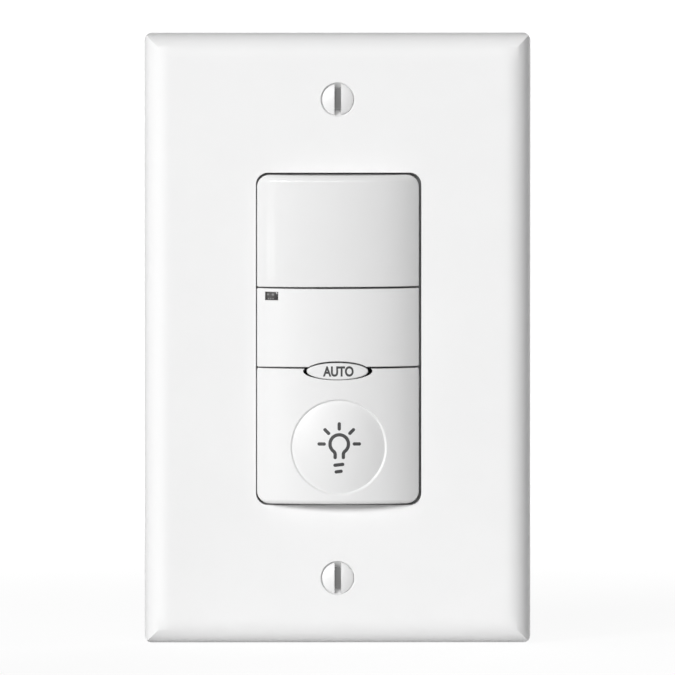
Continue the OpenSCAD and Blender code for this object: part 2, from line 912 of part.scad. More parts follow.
module sensor_board() {
    color(board_green)
        difference() {
            slab(sensor_board_y, sensor_board_y + board_t)
                rrect(sensor_board_w, sensor_board_h, 1);
            at_corners(board_post_x, board_post_z)
                rod_y(0, 0, stake_r + 0.06, sensor_board_y - 1, sensor_board_y + board_t + 1);
            at_each(concat(pir_leads, link_leads))
                rod_y(0, 0, lead_r + 0.06, sensor_board_y - 1, sensor_board_y + board_t + 1);
        }
}

module pir_can() {
    color(steel)
        difference() {
            union() {
                rod_y(0, pir_z, pir_flange_r, sensor_board_y - 0.9, sensor_board_y);
                rod_y(0, pir_z, pir_r, pir_top, sensor_board_y - 0.5);
                box([pir_r - 0.5, sensor_board_y - 0.9, pir_z - 0.5],
                    [pir_tab_r, sensor_board_y - 0.4, pir_z + 0.5]);
                at_each(pir_leads)
                    rod_y(0, 0, lead_r, sensor_board_y - lap, sensor_board_y + board_t + 1);
            }
            slab(pir_top - 1, pir_top + 0.5)
                translate([0, pir_z])
                    rrect(pir_pane_w, pir_pane_h, 0.4);
        }
}

module pir_window() {
    color(smoke)
        slab(pir_top + 0.05, pir_top + 0.5)
            translate([0, pir_z])
                rrect(pir_pane_w - 0.1, pir_pane_h - 0.1, 0.35);
}

module light_sensor() {
    color(pearl)
        box([window_x - 0.8, sensor_board_y - 0.8, window_z - 0.6],
            [window_x + 0.8, sensor_board_y, window_z + 0.6]);
}

module controller_chip() {
    color(black)
        difference() {
            box([-3.5, sensor_board_y - 1.2, 5], [3.5, sensor_board_y, 12]);
            rod_y(-2.5, 11, 0.4, sensor_board_y - 2, sensor_board_y - 1);
        }
}

module chip_parts() {
    color(amber)
        for (i = [0 : chip_rows - 1], s = [-1, 1]) {
            z = chip_row_z + chip_row_step * i;
            box([s * chip_row_x, sensor_board_y - chip_t, z],
                [s * (chip_row_x + chip_w), sensor_board_y, z + chip_h]);
        }
}

// push switch: moulded base with a round cavity
module tact_base() {
    difference() {
        box([-tact_w / 2, tact_top, -tact_w / 2], [tact_w / 2, sensor_board_y, tact_w / 2]);
        rod_y(0, 0, tact_cavity_r, tact_top - 1, tact_floor);
    }
}

// push switch: thin snap dome that rests on the cavity's floor
module tact_dome() {
    r = (pow(dome_rim_r, 2) + pow(dome_rise, 2)) / (2 * dome_rise);
    translate([0, tact_floor, 0])
        rotate([90, 0, 0])
            rotate_extrude()
                intersection() {
                    difference() {
                        translate([0, dome_rise - r])
                            circle(r);
                        translate([0, dome_rise - r])
                            circle(r - dome_t);
                    }
                    square([dome_rim_r, dome_rise]);
                }
}

// push switch: plunger with the flange that keeps it in
module tact_plunger() {
    rod_y(0, 0, plunger_r, tact_tip + 0.3, tact_top + lap);
    rod_y(0, 0, plunger_r - 0.3, tact_tip, tact_tip + 0.3, plunger_r);
    rod_y(0, 0, tact_cavity_r - 0.3, tact_top + 0.05, tact_top + 0.9);
    rod_y(0, 0, 0.8, tact_top + 0.7, tact_floor - dome_rise - 0.05);
}

// push switch: sheet cover with a folded tab at each side
module tact_cover() {
    difference() {
        union() {
            box([-tact_w / 2 - 0.25, tact_top - tact_cover_t, -tact_w / 2],
                [tact_w / 2 + 0.25, tact_top, tact_w / 2]);
            for (s = [-1, 1])
                box([s * (tact_w / 2 + 0.05), tact_top - tact_cover_t, -1.2],
                    [s * (tact_w / 2 + 0.25), sensor_board_y - 1, 1.2]);
        }
        rod_y(0, 0, plunger_r + clear, tact_top - 1, tact_top + 1);
    }
}

module main_switch_base() {
    color(black)
        translate([0, 0, dish_z])
            tact_base();
}

module main_switch_dome() {
    color(steel)
        translate([0, 0, dish_z])
            tact_dome();
}

module main_switch_plunger() {
    color(black)
        translate([0, 0, dish_z])
            tact_plunger();
}

module main_switch_cover() {
    color(steel)
        translate([0, 0, dish_z])
            tact_cover();
}

module mode_switch_base() {
    color(black)
        translate([0, 0, oval_z])
            tact_base();
}

module mode_switch_dome() {
    color(steel)
        translate([0, 0, oval_z])
            tact_dome();
}

module mode_switch_plunger() {
    color(black)
        translate([0, 0, oval_z])
            tact_plunger();
}

module mode_switch_cover() {
    color(steel)
        translate([0, 0, oval_z])
            tact_cover();
}

module board_link() {
    half = link_pins * link_pitch / 2;
    color(black)
        union() {
            box([-half, sensor_board_y + board_t, link_at.y - 1.25],
                [half, sensor_board_y + board_t + 2.5, link_at.y + 1.25]);
            box([-half, power_board_y - 2.5, link_at.y - 1.25],
                [half, power_board_y, link_at.y + 1.25]);
            at_each(link_leads)
                rod_y(0, 0, lead_r, sensor_board_y - 0.5, lead_end);
        }
}

module power_board() {
    color(board_green)
        difference() {
            slab(power_board_y, power_board_y + board_t)
                difference() {
                    rrect(power_board_w, power_board_h, 1.5);
                    for (sx = [-1, 1], sz = [-1, 1])
                        translate([sx * boss_x, sz * boss_z])
                            circle(column_r + 0.5);
                }
            at_corners(power_post_x, power_post_z)
                rod_y(0, 0, stake_r + 0.06, power_board_y - 1, power_board_y + board_t + 1);
            at_each(power_leads)
                rod_y(0, 0, lead_r + 0.06, power_board_y - 1, power_board_y + board_t + 1);
            for (t = terminals)
                box([t.x * (pocket_floor - fit), power_board_y - 1, t.y - tail_hz - fit],
                    [t.x * (pocket_floor + tail_t + fit), power_board_y + board_t + 1, t.y + tail_hz + fit]);
        }
}

// leads of a part through the power board
module power_legs(places) {
    at_each(places)
        rod_y(0, 0, lead_r, power_board_y - lap, lead_end);
}

// block that stands on the power board
module power_block(place, size) {
    box([place.x - size.x / 2, power_board_y - size.y, place.y - size.z / 2],
        [place.x + size.x / 2, power_board_y, place.y + size.z / 2]);
}

module relay() {
    color(blue)
        union() {
            power_block(relay_at, relay_size);
            power_legs(relay_leads);
        }
}

module film_capacitor() {
    color(amber)
        union() {
            power_block(film_at, film_size);
            power_legs(film_leads);
        }
}

module smoothing_capacitor() {
    color(black)
        difference() {
            union() {
                rod_y(smooth_at.x, smooth_at.y, smooth_r, power_board_y - smooth_h, power_board_y);
                power_legs(smooth_leads);
            }
            translate([smooth_at.x, power_board_y - 2.5, smooth_at.y])
                rotate([90, 0, 0])
                    rotate_extrude()
                        translate([smooth_r + 0.5, 0])
                            circle(0.8);
        }
}

module varistor() {
    color(blue)
        union() {
            rod_x(power_board_y - varistor_r, varistor_at.y, varistor_r,
                  varistor_at.x - varistor_t / 2, varistor_at.x + varistor_t / 2);
            power_block(varistor_at, [varistor_t, 3, 7]);
            power_legs(varistor_leads);
        }
}

module fuse() {
    color(fibre)
        translate([fuse_at.x, power_board_y - fuse_r, fuse_at.y - fuse_len / 2])
            union() {
                cylinder(h = fuse_len, r = fuse_r - 0.2);
                cylinder(h = 1.6, r = fuse_r);
                translate([0, 0, fuse_len - 1.6])
                    cylinder(h = 1.6, r = fuse_r);
            }
}

module choke() {
    color(copper)
        union() {
            rod_y(choke_at.x, choke_at.y, choke_r, power_board_y - 1, power_board_y);
            rod_y(choke_at.x, choke_at.y, choke_r - 0.8, power_board_y - choke_h + 0.8, power_board_y - 0.8);
            rod_y(choke_at.x, choke_at.y, choke_r, power_board_y - choke_h, power_board_y - choke_h + 1);
            power_legs(choke_leads);
        }
}

module rectifier() {
    color(black)
        power_block(rectifier_at, rectifier_size);
}

module rear_housing() {
    color(grey)
        difference() {
            union() {
                difference() {
                    slab(0, house_d)
                        rrect(house_w, house_h, 4);
                    slab(-1, house_back_in)
                        rrect(house_w - 2 * house_wall, house_h - 2 * house_wall, 2.4);
                }
                intersection() {
                    at_corners(boss_x, boss_z)
                        rod_y(0, 0, column_r, boss_end, house_back_in + lap);
                    slab(0, house_d)
                        rrect(house_w - 1, house_h - 1, 3.5);
                }
                at_corners(power_post_x, power_post_z) {
                    rod_y(0, 0, 2, power_board_y + board_t, house_back_in + lap);
                    rod_y(0, 0, stake_r, power_board_y - lap, power_board_y + board_t + lap);
                    rod_y(0, 0, stake_head_r, power_board_y - stake_head_t, power_board_y);
                }
                for (t = terminals) {
                    box([t.x * (pocket_floor - pocket_wall), pocket_y0 - pocket_wall,
                         t.y - pocket_hz - pocket_wall],
                        [t.x * (house_w / 2 - 0.5), pocket_y1 + pocket_wall,
                         t.y + pocket_hz + pocket_wall]);
                    rod_x(terminal_y, t.y, binding_r + 1.2, t.x * (pocket_floor - pocket_wall + lap),
                          t.x * (pocket_floor - 4.6));
                }
            }
            for (t = terminals) {
                box([t.x * pocket_floor, pocket_y0, t.y - pocket_hz],
                    [t.x * (house_w / 2 + 1), pocket_y1, t.y + pocket_hz]);
                rod_x(terminal_y, t.y, binding_r + 0.06, t.x * (pocket_floor + 1),
                      t.x * (pocket_floor - 4));
                box([t.x * (pocket_floor - 0.05), pocket_y1 - 1, t.y - tail_hz - fit],
                    [t.x * (pocket_floor + tail_t + fit), pocket_y1 + pocket_wall + 1, t.y + tail_hz + fit]);
            }
            at_corners(boss_x, boss_z) {
                rod_y(0, 0, case_screw_r + fit, boss_end - 1, house_d + 1);
                rod_y(0, 0, case_head_r + fit, house_d - case_head_t - 0.3, house_d + 1);
            }
        }
}

module housing_screws() {
    seat = house_d - case_head_t - 0.3;
    color(zinc)
        at_corners(boss_x, boss_z)
            union() {
                translate([0, seat, 0])
                    rotate([0, 0, 180])
                        pan_head(case_head_r, case_head_t);
                rod_y(0, 0, case_screw_r, 0.6, seat + lap);
            }
}

// brass terminal: plate under the screw and a tail through the power board
module terminal(t) {
    difference() {
        union() {
            box([t.x * pocket_floor, pocket_y0 + 1.3, t.y - 4.6],
                [t.x * (pocket_floor + terminal_t), pocket_y1 - 0.6, t.y + 4.6]);
            box([t.x * pocket_floor, pocket_y1 - 1, t.y - tail_hz],
                [t.x * (pocket_floor + tail_t), tail_end, t.y + tail_hz]);
        }
        rod_x(terminal_y, t.y, binding_r + 0.15, t.x * (pocket_floor - 1),
              t.x * (pocket_floor + terminal_t + 1));
    }
}

module line_terminal() {
    color(brass)
        terminal(line_at);
}

module load_terminal() {
    color(brass)
        terminal(load_at);
}

module neutral_terminal() {
    color(steel)
        terminal(neutral_at);
}

module clamp_plates() {
    a = pocket_floor + terminal_t;
    color(steel)
        for (t = terminals)
            difference() {
                box([t.x * a, terminal_y - 4.2, t.y - 4.2],
                    [t.x * (a + clamp_t), terminal_y + 4.2, t.y + 4.2]);
                rod_x(terminal_y, t.y, binding_r + 0.15, t.x * (a - 1), t.x * (a + clamp_t + 1));
            }
}

module terminal_screws() {
    a = pocket_floor + terminal_t + clamp_t;
    color(brass)
        for (t = terminals)
            difference() {
                union() {
                    rod_x(terminal_y, t.y, binding_head_r, t.x * a, t.x * (a + binding_head_t));
                    rod_x(terminal_y, t.y, binding_r, t.x * (a + lap), t.x * (pocket_floor - 3.6));
                }
                box([t.x * (a + binding_head_t - 1), terminal_y - 0.5, t.y - 5],
                    [t.x * (a + binding_head_t + 1), terminal_y + 0.5, t.y + 5]);
            }
}

wall_plate();
plate_screws();
lens();
middle_panel();
light_pipe();
mode_button();
main_button();
front_frame();
mounting_strap();
box_screws();
screw_retainers();
ground_screw();
sensor_board();
pir_can();
pir_window();
light_sensor();
controller_chip();
chip_parts();
main_switch_base();
main_switch_dome();
main_switch_plunger();
main_switch_cover();
mode_switch_base();
mode_switch_dome();
mode_switch_plunger();
mode_switch_cover();
board_link();
power_board();
relay();
film_capacitor();
smoothing_capacitor();
varistor();
fuse();
choke();
rectifier();
rear_housing();
housing_screws();
line_terminal();
load_terminal();
neutral_terminal();
clamp_plates();
terminal_screws();
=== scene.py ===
# Looks of the wall-box motion sensor switch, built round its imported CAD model.
# A piece is modelled in millimetres. settle() turns it into metres and hangs it on its body.
import json
from math import asin, cos, pi, radians, sin, sqrt

import bpy
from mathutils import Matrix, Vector


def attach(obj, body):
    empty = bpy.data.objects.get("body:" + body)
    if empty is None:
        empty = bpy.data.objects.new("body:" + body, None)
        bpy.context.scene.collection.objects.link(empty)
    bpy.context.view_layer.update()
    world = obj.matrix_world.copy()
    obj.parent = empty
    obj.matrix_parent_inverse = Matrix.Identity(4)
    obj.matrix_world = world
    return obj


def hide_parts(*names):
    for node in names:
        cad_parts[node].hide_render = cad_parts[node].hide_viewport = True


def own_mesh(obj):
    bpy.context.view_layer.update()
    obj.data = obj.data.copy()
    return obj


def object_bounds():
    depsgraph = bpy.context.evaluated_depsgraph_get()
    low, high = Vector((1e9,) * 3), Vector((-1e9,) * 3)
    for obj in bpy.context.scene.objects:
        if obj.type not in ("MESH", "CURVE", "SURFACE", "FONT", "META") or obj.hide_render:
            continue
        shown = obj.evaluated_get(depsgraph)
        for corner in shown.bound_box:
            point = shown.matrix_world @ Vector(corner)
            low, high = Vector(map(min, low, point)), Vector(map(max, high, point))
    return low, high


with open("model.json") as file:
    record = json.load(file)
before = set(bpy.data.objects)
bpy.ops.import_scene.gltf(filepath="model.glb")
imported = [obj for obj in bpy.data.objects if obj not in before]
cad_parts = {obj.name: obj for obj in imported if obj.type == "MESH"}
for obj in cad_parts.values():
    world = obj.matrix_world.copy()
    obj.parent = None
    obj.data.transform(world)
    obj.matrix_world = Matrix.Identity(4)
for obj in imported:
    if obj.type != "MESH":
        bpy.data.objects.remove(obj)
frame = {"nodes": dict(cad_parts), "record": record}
cad_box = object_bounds()
bpy.ops.object.select_all(action="DESELECT")

# One millimetre in metres
MM = 0.001

# Wall plate
PLATE_W = 78.0
PLATE_H = 123.4
PLATE_DEPTH = 6.2
PLATE_WALL = 2.0
ROLL_W = 5.0
ROLL_DEPTH = 4.0
ROLL_STEPS = 14
MITRE_REACH = 5.6
PLATE_CORNER_R = 1.5
OPENING_X = 0.19
OPENING_W = 33.4
OPENING_H = 67.2
OPENING_R = 2.4
OPENING_EDGE_R = 0.15
COLLAR_WALL = 1.6
COLLAR_BACK = -3.2
ROOT_LAP = 0.5
RIB_HALF_T = 0.6
RIB_H = 1.8
LONG_RIB_X = 27.0
LONG_RIB_END = 60.0
CROSS_RIB_Z = 55.0
CROSS_RIB_END = 26.8
PLATE_SCREW_Z = 48.42
PLATE_BOSS_R = 3.05
PLATE_BOSS_BACK = -1.6
SEAT_R = 3.5
SEAT_FOOT_R = 2.2
SEAT_DEPTH = 1.54
PLATE_HOLE_R = 1.95

# Crowned face, from the lens down to the push plate
FACE_W = 32.7
FACE_FRONT = -10.9
FACE_X = -0.1
FACE_EDGE_X = 0.14
CROWN_RISE = 3.4
CROWN_R = (FACE_W ** 2 / 4 + CROWN_RISE ** 2) / (2 * CROWN_RISE)
SIDE_ROLL = 0.8
SIDE_ROLL_X = 8.0
LENS_Z = (10.72, 33.25)
PANEL_Z = (-5.43, 10.34)
PUSH_Z = (-33.2, -5.8)
FACE_CORNER_R = 2.5
SEAM_CORNER_R = 0.3
FACE_EDGE_R = 0.2
SKIRT = 1.1
SEAM_TAPER = 0.12
SKIN = 1.4
LENS_SKIN = 0.9
FACE_BACK = -2.8
PUSH_BACK = -4.07
CUP_DEPTH = 5.0
CUP_RIM = CUP_DEPTH - 0.5
CUT_FRONT = -1.0
CUT_BACK = CUP_DEPTH + 1.0
CROWN_STRIPS = 44
PILLOW_REACH = 1.5
PILLOW_R = 1.7
PILLOW_STEPS = 12
SIDE_EASE = 0.1
SEAM_EASE = 0.25
SEAM_STEPS = 4
FOOT_ROLL_REACH = 0.9
FOOT_ROLL_R = 1.0
FOOT_ROLL_STEPS = 6

# Dish of the push plate
DISH_X = 0.25
DISH_Z = -21.65
DISH_R = 9.7
DISH_RIM = 0.4
DISH_BULGE = 1.0
PAD_HOLE_R = DISH_R + 0.1
PAD_DOME_R = DISH_R - 0.55
PAD_RINGS = 12
PAD_SIDES = 128
# Outline of the groove round the pad: how far past the dish's radius, and how deep
PAD_GROOVE = ((0.1, 0), (0.03, 0.015), (-0.03, 0.05), (-0.24, 0.28), (-0.3, 0.32), (-0.4, 0.345))

# Oval button and its cut-outs
OVAL_Z = -6.3
OVAL_HALF_W = 6.2
OVAL_HALF_H = 1.7
OVAL_DEPTH = 2.4
OVAL_EDGE_R = 0.25
OVAL_PROUD = 0.1
OVAL_GAP = 0.3
OVAL_HOLE_EDGE_R = 0.15
NOTCH_X = 0.06
NOTCH_HALF_W = 7.0
NOTCH_GAP = 0.1
NOTCH_EDGE_R = 0.08

# Sensor window
WINDOW_X = -13.27
WINDOW_Z = 8.83
WINDOW_W = 2.5
WINDOW_H = 1.6
WINDOW_SUNK = 0.14
WINDOW_DEPTH = 3.0
WINDOW_EDGE_R = 0.08
WINDOW_GAP = 0.05
WINDOW_HOLE_EDGE_R = 0.12
# Pale spots behind the window: x, z and radius
WINDOW_SPOTS = ((-14.13, 9.15, 0.34), (-13.12, 9.1, 0.38), (-14.0, 8.25, 0.28), (-13.55, 8.27, 0.28),
                (-13.1, 8.25, 0.28))

# Hinge and posts behind the buttons
HINGE_Y = -3.4
HINGE_Z = -8.41
LUG_X = (14.95, 16.2)
LUG_FRONT = -5.8
LUG_R = 1.5
PIN_X = (12.5, 15.0)
PIN_R = 0.8
POST_R = 1.6
STEM_R = 1.5
STEM_ROOT = FACE_FRONT + 2.0
STEM_END = -0.28
STEM_COLLAR_R = 2.2
STEM_COLLAR_Y = (-1.25, -0.65)

# Screws
PLATE_HEAD_R = 3.16
PLATE_HEAD_RISE = 0.7
PLATE_SHANK_R = 1.5
PLATE_THREAD_R = 1.7
PLATE_TIP_R = 1.1
PLATE_TIP = 6.5
SLOT_HALF_W = 0.63
SLOT_DEPTH = 1.2
SLOT_EDGE_R = 0.09
LOOK_LAP = 0.03
BOX_SCREW_Z = 41.67
BOX_SEAT = -1.3
# Outline of the pan head: radius, and height over its seat
BOX_HEAD = ((0, 2.2), (1.4, 2.17), (2.3, 2.0), (2.9, 1.65), (3.25, 1.15), (3.36, 0.6), (3.36, 0.1), (3.28, 0))
BOX_NECK_R = 1.5
BOX_CORE_R = 1.42
BOX_THREAD_R = 1.75
BOX_TIP_R = 0.95
BOX_TIP = 23.0
BOX_CROSS_REACH = 2.1
BOX_CROSS_HALF_W = 0.42
BOX_CROSS_FLOOR = BOX_SEAT - 1.0
THREAD_PITCH = 0.8
# Root of a thread as a share of its radius, and crest as shares of its pitch
THREAD_ROOT = 0.8
THREAD_CREST = (0.42, 0.55)
THREAD_STEPS = 24

# Housing and the screws behind
CASE_W = 44.0
CASE_H = 68.0
CASE_BACK = 31.0
CASE_CORNER_R = 4.0
CASE_EDGE_R = 0.9
CASE_SCREW_X = 17.5
CASE_SCREW_Z = 29.5
CASE_SEAT = 28.9
CASE_BORE_R = 2.5
BORE_EDGE_R = 0.25
POCKETS = ((22.0, 12.0), (22.0, -12.0), (-22.0, 0.0))
POCKET_Y = (4.2, 16.8)
POCKET_HALF_H = 5.2
POCKET_EDGE_R = 0.4
OUTLINE_SLACK = 0.05
GROUND_X = 17.0
GROUND_Z = -41.0
# Head and cross recess of the rear screws, as shares of the head's radius and height
REAR_HEAD = ((0, 1), (0.42, 0.985), (0.66, 0.91), (0.85, 0.73), (0.96, 0.45), (1, 0.16), (0.97, 0))
REAR_CROSS_REACH = 0.6
REAR_CROSS_HALF_W = 0.13
REAR_CROSS_FLOOR = 0.4

# Snap domes of the two push switches
DOME_R = 2.3
DOME_RISE = 0.6
DOME_SKIN = 0.12
DOME_FLOOR = 3.8
DOME_RINGS = 10

# Printed signs
PRINT_TOP = -0.02
PRINT_FOOT = 0.03
STROKE = 0.68
STROKE_END = STROKE * 0.49
BULB_X = DISH_X + 0.09
BULB_Z = DISH_Z + 0.71
BULB_HEAD_R = 1.86
BULB_NECK_R = 0.85
BULB_LEG_X = 0.83
BULB_LEG = 0.95
RAY_START = 2.7
RAY_END = 4.4
BASE_BAR = ((-1.1, -3.62), (1.12, -3.38))
FOOT_BAR = ((-0.85, -4.98), (0.8, -4.78))
WORD_X = 0.15
WORD_W = 6.2
WORD_H = 2.12
WORD_WEIGHT = 0.038


# Modelling by hand

def only(piece):
    """Select one piece alone and make it the active one."""
    if bpy.context.object and bpy.context.object.mode != "OBJECT":
        bpy.ops.object.mode_set(mode="OBJECT")
    bpy.ops.object.select_all(action="DESELECT")
    piece.select_set(True)
    bpy.context.view_layer.objects.active = piece


def named(name, stretch=(1, 1, 1)):
    """Name the shape just added, stretch it and put its place, turn and size into its mesh."""
    piece = bpy.context.object
    piece.name = name
    piece.data.name = name
    piece.scale = stretch
    bpy.ops.object.transform_apply(location=True, rotation=True, scale=True)
    return piece


def edit(piece):
    """Open a piece in edit mode with all of it selected."""
    only(piece)
    bpy.ops.object.mode_set(mode="EDIT")
    bpy.ops.mesh.select_mode(type="VERT")
    bpy.ops.mesh.select_all(action="SELECT")


def done():
    bpy.ops.object.mode_set(mode="OBJECT")


def pick(piece, kind, test):
    """Open a piece in edit mode with only those corners, edges or faces selected that pass a test."""
    edit(piece)
    bpy.ops.mesh.select_mode(type=kind)
    bpy.ops.mesh.select_all(action="DESELECT")
    done()
    mesh = piece.data
    spot = [v.co for v in mesh.vertices]
    if kind == "VERT":
        for v in mesh.vertices:
            v.select = test(v.co)
    elif kind == "EDGE":
        for e in mesh.edges:
            e.select = test(spot[e.vertices[0]], spot[e.vertices[1]])
    else:
        for f in mesh.polygons:
            f.select = test(f.center, f.normal)
    bpy.ops.object.mode_set(mode="EDIT")


def near(value, target, slack=0.01):
    return abs(value - target) < slack


def round_edges(piece, test, radius, steps):
    """Round the edges whose two ends pass a test."""
    pick(piece, "EDGE", lambda a, b: test(a) and test(b))
    bpy.ops.mesh.bevel(offset=radius, segments=steps, affect="EDGES")
    done()


def tidy_shell(piece, gap=0.001):
    """Merge doubled points and point every face outwards."""
    edit(piece)
    bpy.ops.mesh.remove_doubles(threshold=gap)
    bpy.ops.mesh.normals_make_consistent(inside=False)
    done()


def close_shell(piece):
    """Merge doubled points, drop stray edges and fill any crack that is left."""
    edit(piece)
    bpy.ops.mesh.remove_doubles(threshold=0.002)
    bpy.ops.mesh.delete_loose()
    bpy.ops.mesh.select_mode(type="EDGE")
    bpy.ops.mesh.select_all(action="DESELECT")
    bpy.ops.mesh.select_non_manifold()
    bpy.ops.mesh.fill()
    done()


def carve(piece, cutter, how="DIFFERENCE"):
    """Cut a piece with another one, which is used up."""
    only(piece)
    cut = piece.modifiers.new("cut", "BOOLEAN")
    cut.operation = how
    cut.solver = "EXACT"
    cut.object = cutter
    bpy.ops.object.modifier_apply(modifier=cut.name)
    bpy.data.objects.remove(cutter)


def join(piece, *others):
    """Make other pieces part of one piece."""
    only(piece)
    for other in others:
        other.select_set(True)
    bpy.ops.object.join()
    return piece


def block(name, low, high):
    """Box between two corners."""
    size = [b - a for a, b in zip(low, high)]
    middle = [(a + b) / 2 for a, b in zip(low, high)]
    bpy.ops.mesh.primitive_cube_add(size=1, location=middle)
    return named(name, size)


def rod(name, r, start, end, sides=48):
    """Round rod between two points on a line along X, Y or Z."""
    a, b = Vector(start), Vector(end)
    turn = (b - a).to_track_quat("Z", "Y").to_euler()
    bpy.ops.mesh.primitive_cylinder_add(vertices=sides, radius=r, depth=(b - a).length,
                                        location=(a + b) / 2, rotation=turn)
    return named(name)


def rounded_block(name, w, z0, z1, low_r, high_r, y0, y1, steps=8):
    """Block from y0 back to y1 whose lower and upper corners are rounded, seen from the front."""
    middle = (z0 + z1) / 2
    bpy.ops.mesh.primitive_plane_add(size=1, location=(0, y0, middle), rotation=(radians(90), 0, 0))
    piece = named(name, (w, z1 - z0, 1))
    pick(piece, "VERT", lambda p: p.z < middle)
    bpy.ops.mesh.bevel(offset=low_r, segments=steps, affect="VERTICES")
    pick(piece, "VERT", lambda p: near(p.z, z1))
    bpy.ops.mesh.bevel(offset=high_r, segments=steps, affect="VERTICES")
    edit(piece)
    bpy.ops.mesh.extrude_region_move(TRANSFORM_OT_translate={"value": (0, y1 - y0, 0)})
    done()
    tidy_shell(piece)
    return piece


def oval_block(name, x, z, half_w, half_h, y0, y1, sides=96):
    """Elliptic block from y0 back to y1."""
    bpy.ops.mesh.primitive_circle_add(vertices=sides, radius=1, fill_type="NGON", location=(x, y0, z),
                                      rotation=(radians(90), 0, 0))
    piece = named(name, (half_w, half_h, 1))
    edit(piece)
    bpy.ops.mesh.extrude_region_move(TRANSFORM_OT_translate={"value": (0, y1 - y0, 0)})
    done()
    tidy_shell(piece)
    return piece


def line_of_points(name, points):
    """Chain of edges through a list of points, drawn by extruding one point after another."""
    bpy.ops.mesh.primitive_plane_add(size=1)
    piece = named(name)
    edit(piece)
    bpy.ops.mesh.merge(type="CENTER")
    bpy.ops.transform.translate(value=points[0])
    for a, b in zip(points, points[1:]):
        step = Vector(b) - Vector(a)
        bpy.ops.mesh.extrude_region_move(TRANSFORM_OT_translate={"value": step})
    done()
    return piece


def turned(name, outline, x, z, steps=64):
    """Round piece about a line along Y, from an outline of radius and depth."""
    piece = line_of_points(name, [(x + r, y, z) for r, y in outline])
    edit(piece)
    bpy.ops.mesh.spin(steps=steps, angle=2 * pi, center=(x, 0, z), axis=(0, 1, 0))
    done()
    tidy_shell(piece)
    return piece


def twin(piece, name):
    """Copy of a piece with a mesh of its own."""
    copy = piece.copy()
    copy.data = piece.data.copy()
    copy.name = name
    copy.data.name = name
    bpy.context.scene.collection.objects.link(copy)
    return copy


def smooth(piece, angle=32):
    """Shade smoothly up to an angle, with wide faces leading the shading."""
    only(piece)
    bpy.ops.object.shade_smooth_by_angle(angle=radians(angle))
    weight = piece.modifiers.new("weight", "WEIGHTED_NORMAL")
    weight.keep_sharp = True
    weight.weight = 80
    bpy.ops.object.modifier_apply(modifier=weight.name)


def settle(piece, body, slot, *nodes, finish=None):
    """Turn a piece into metres, give it the finish of its slot or another one and hang it on its body."""
    only(piece)
    piece.scale = (MM, MM, MM)
    bpy.ops.object.transform_apply(location=True, rotation=True, scale=True)
    piece.data.materials.clear()
    piece.data.materials.append(FINISH[finish or slot])
    smooth(piece)
    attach(piece, body)
    if nodes:
        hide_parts(*nodes)
    piece.select_set(False)
    return piece


# Crowned face

def crown_drop(x):
    """How far the crowned face lies behind its middle line; it rolls off more near its sides."""
    side = max(0, abs(x) - SIDE_ROLL_X) / (FACE_W / 2 - SIDE_ROLL_X)
    return CROWN_R - sqrt(CROWN_R ** 2 - x ** 2) + SIDE_ROLL * side ** 3


def dish_depth(x, z):
    """Depth of the dish's floor under the face."""
    reach = ((x - DISH_X) ** 2 + (z - DISH_Z) ** 2) / DISH_R ** 2
    return DISH_RIM - DISH_BULGE * (1 - reach)


def bend_to_crown(piece, back, proud=0.0, strips=CROWN_STRIPS):
    """Cut a flat piece into upright strips and lay it on the crown; its rear edges stay flat."""
    edit(piece)
    for i in range(1, strips):
        bpy.ops.mesh.select_all(action="SELECT")
        x = FACE_W * (i / strips - 0.5)
        bpy.ops.mesh.bisect(plane_co=(x, 0, 0), plane_no=(1, 0, 0))
    done()
    for v in piece.data.vertices:
        if v.co.y > CUP_RIM:
            v.co.y = back
        else:
            v.co.y += FACE_FRONT - proud + crown_drop(v.co.x)
        v.co.x += FACE_X


def face_cup(name, z0, z1, low_r, high_r, skin):
    """Flat cap for a piece of the face: rounded corners and front edges, hollow behind."""
    cap = rounded_block(name, FACE_W, z0, z1, low_r, high_r, 0, CUP_DEPTH)
    round_edges(cap, lambda p: near(p.y, 0), FACE_EDGE_R, 4)
    inner = FACE_W / 2 - SKIRT
    carve(cap, block("hollow", (-inner, skin, z0 + SKIRT), (inner, CUT_BACK, z1 - SKIRT)))
    edit(cap)
    bpy.ops.transform.translate(value=(FACE_EDGE_X, 0, 0))
    done()
    return cap


def roll_foot(piece, z_edge):
    """Let the front fall away in a curve towards the lower edge."""
    edit(piece)
    for i in range(FOOT_ROLL_STEPS):
        bpy.ops.mesh.select_all(action="SELECT")
        z = z_edge + FOOT_ROLL_REACH * (1 - i / FOOT_ROLL_STEPS)
        bpy.ops.mesh.bisect(plane_co=(0, 0, z), plane_no=(0, 0, 1))
    done()
    for v in piece.data.vertices:
        over = z_edge - v.co.z + FOOT_ROLL_REACH
        if over > 0 and v.co.y < CUP_RIM:
            v.co.y += FOOT_ROLL_R - sqrt(FOOT_ROLL_R ** 2 - min(over, FOOT_ROLL_REACH) ** 2)


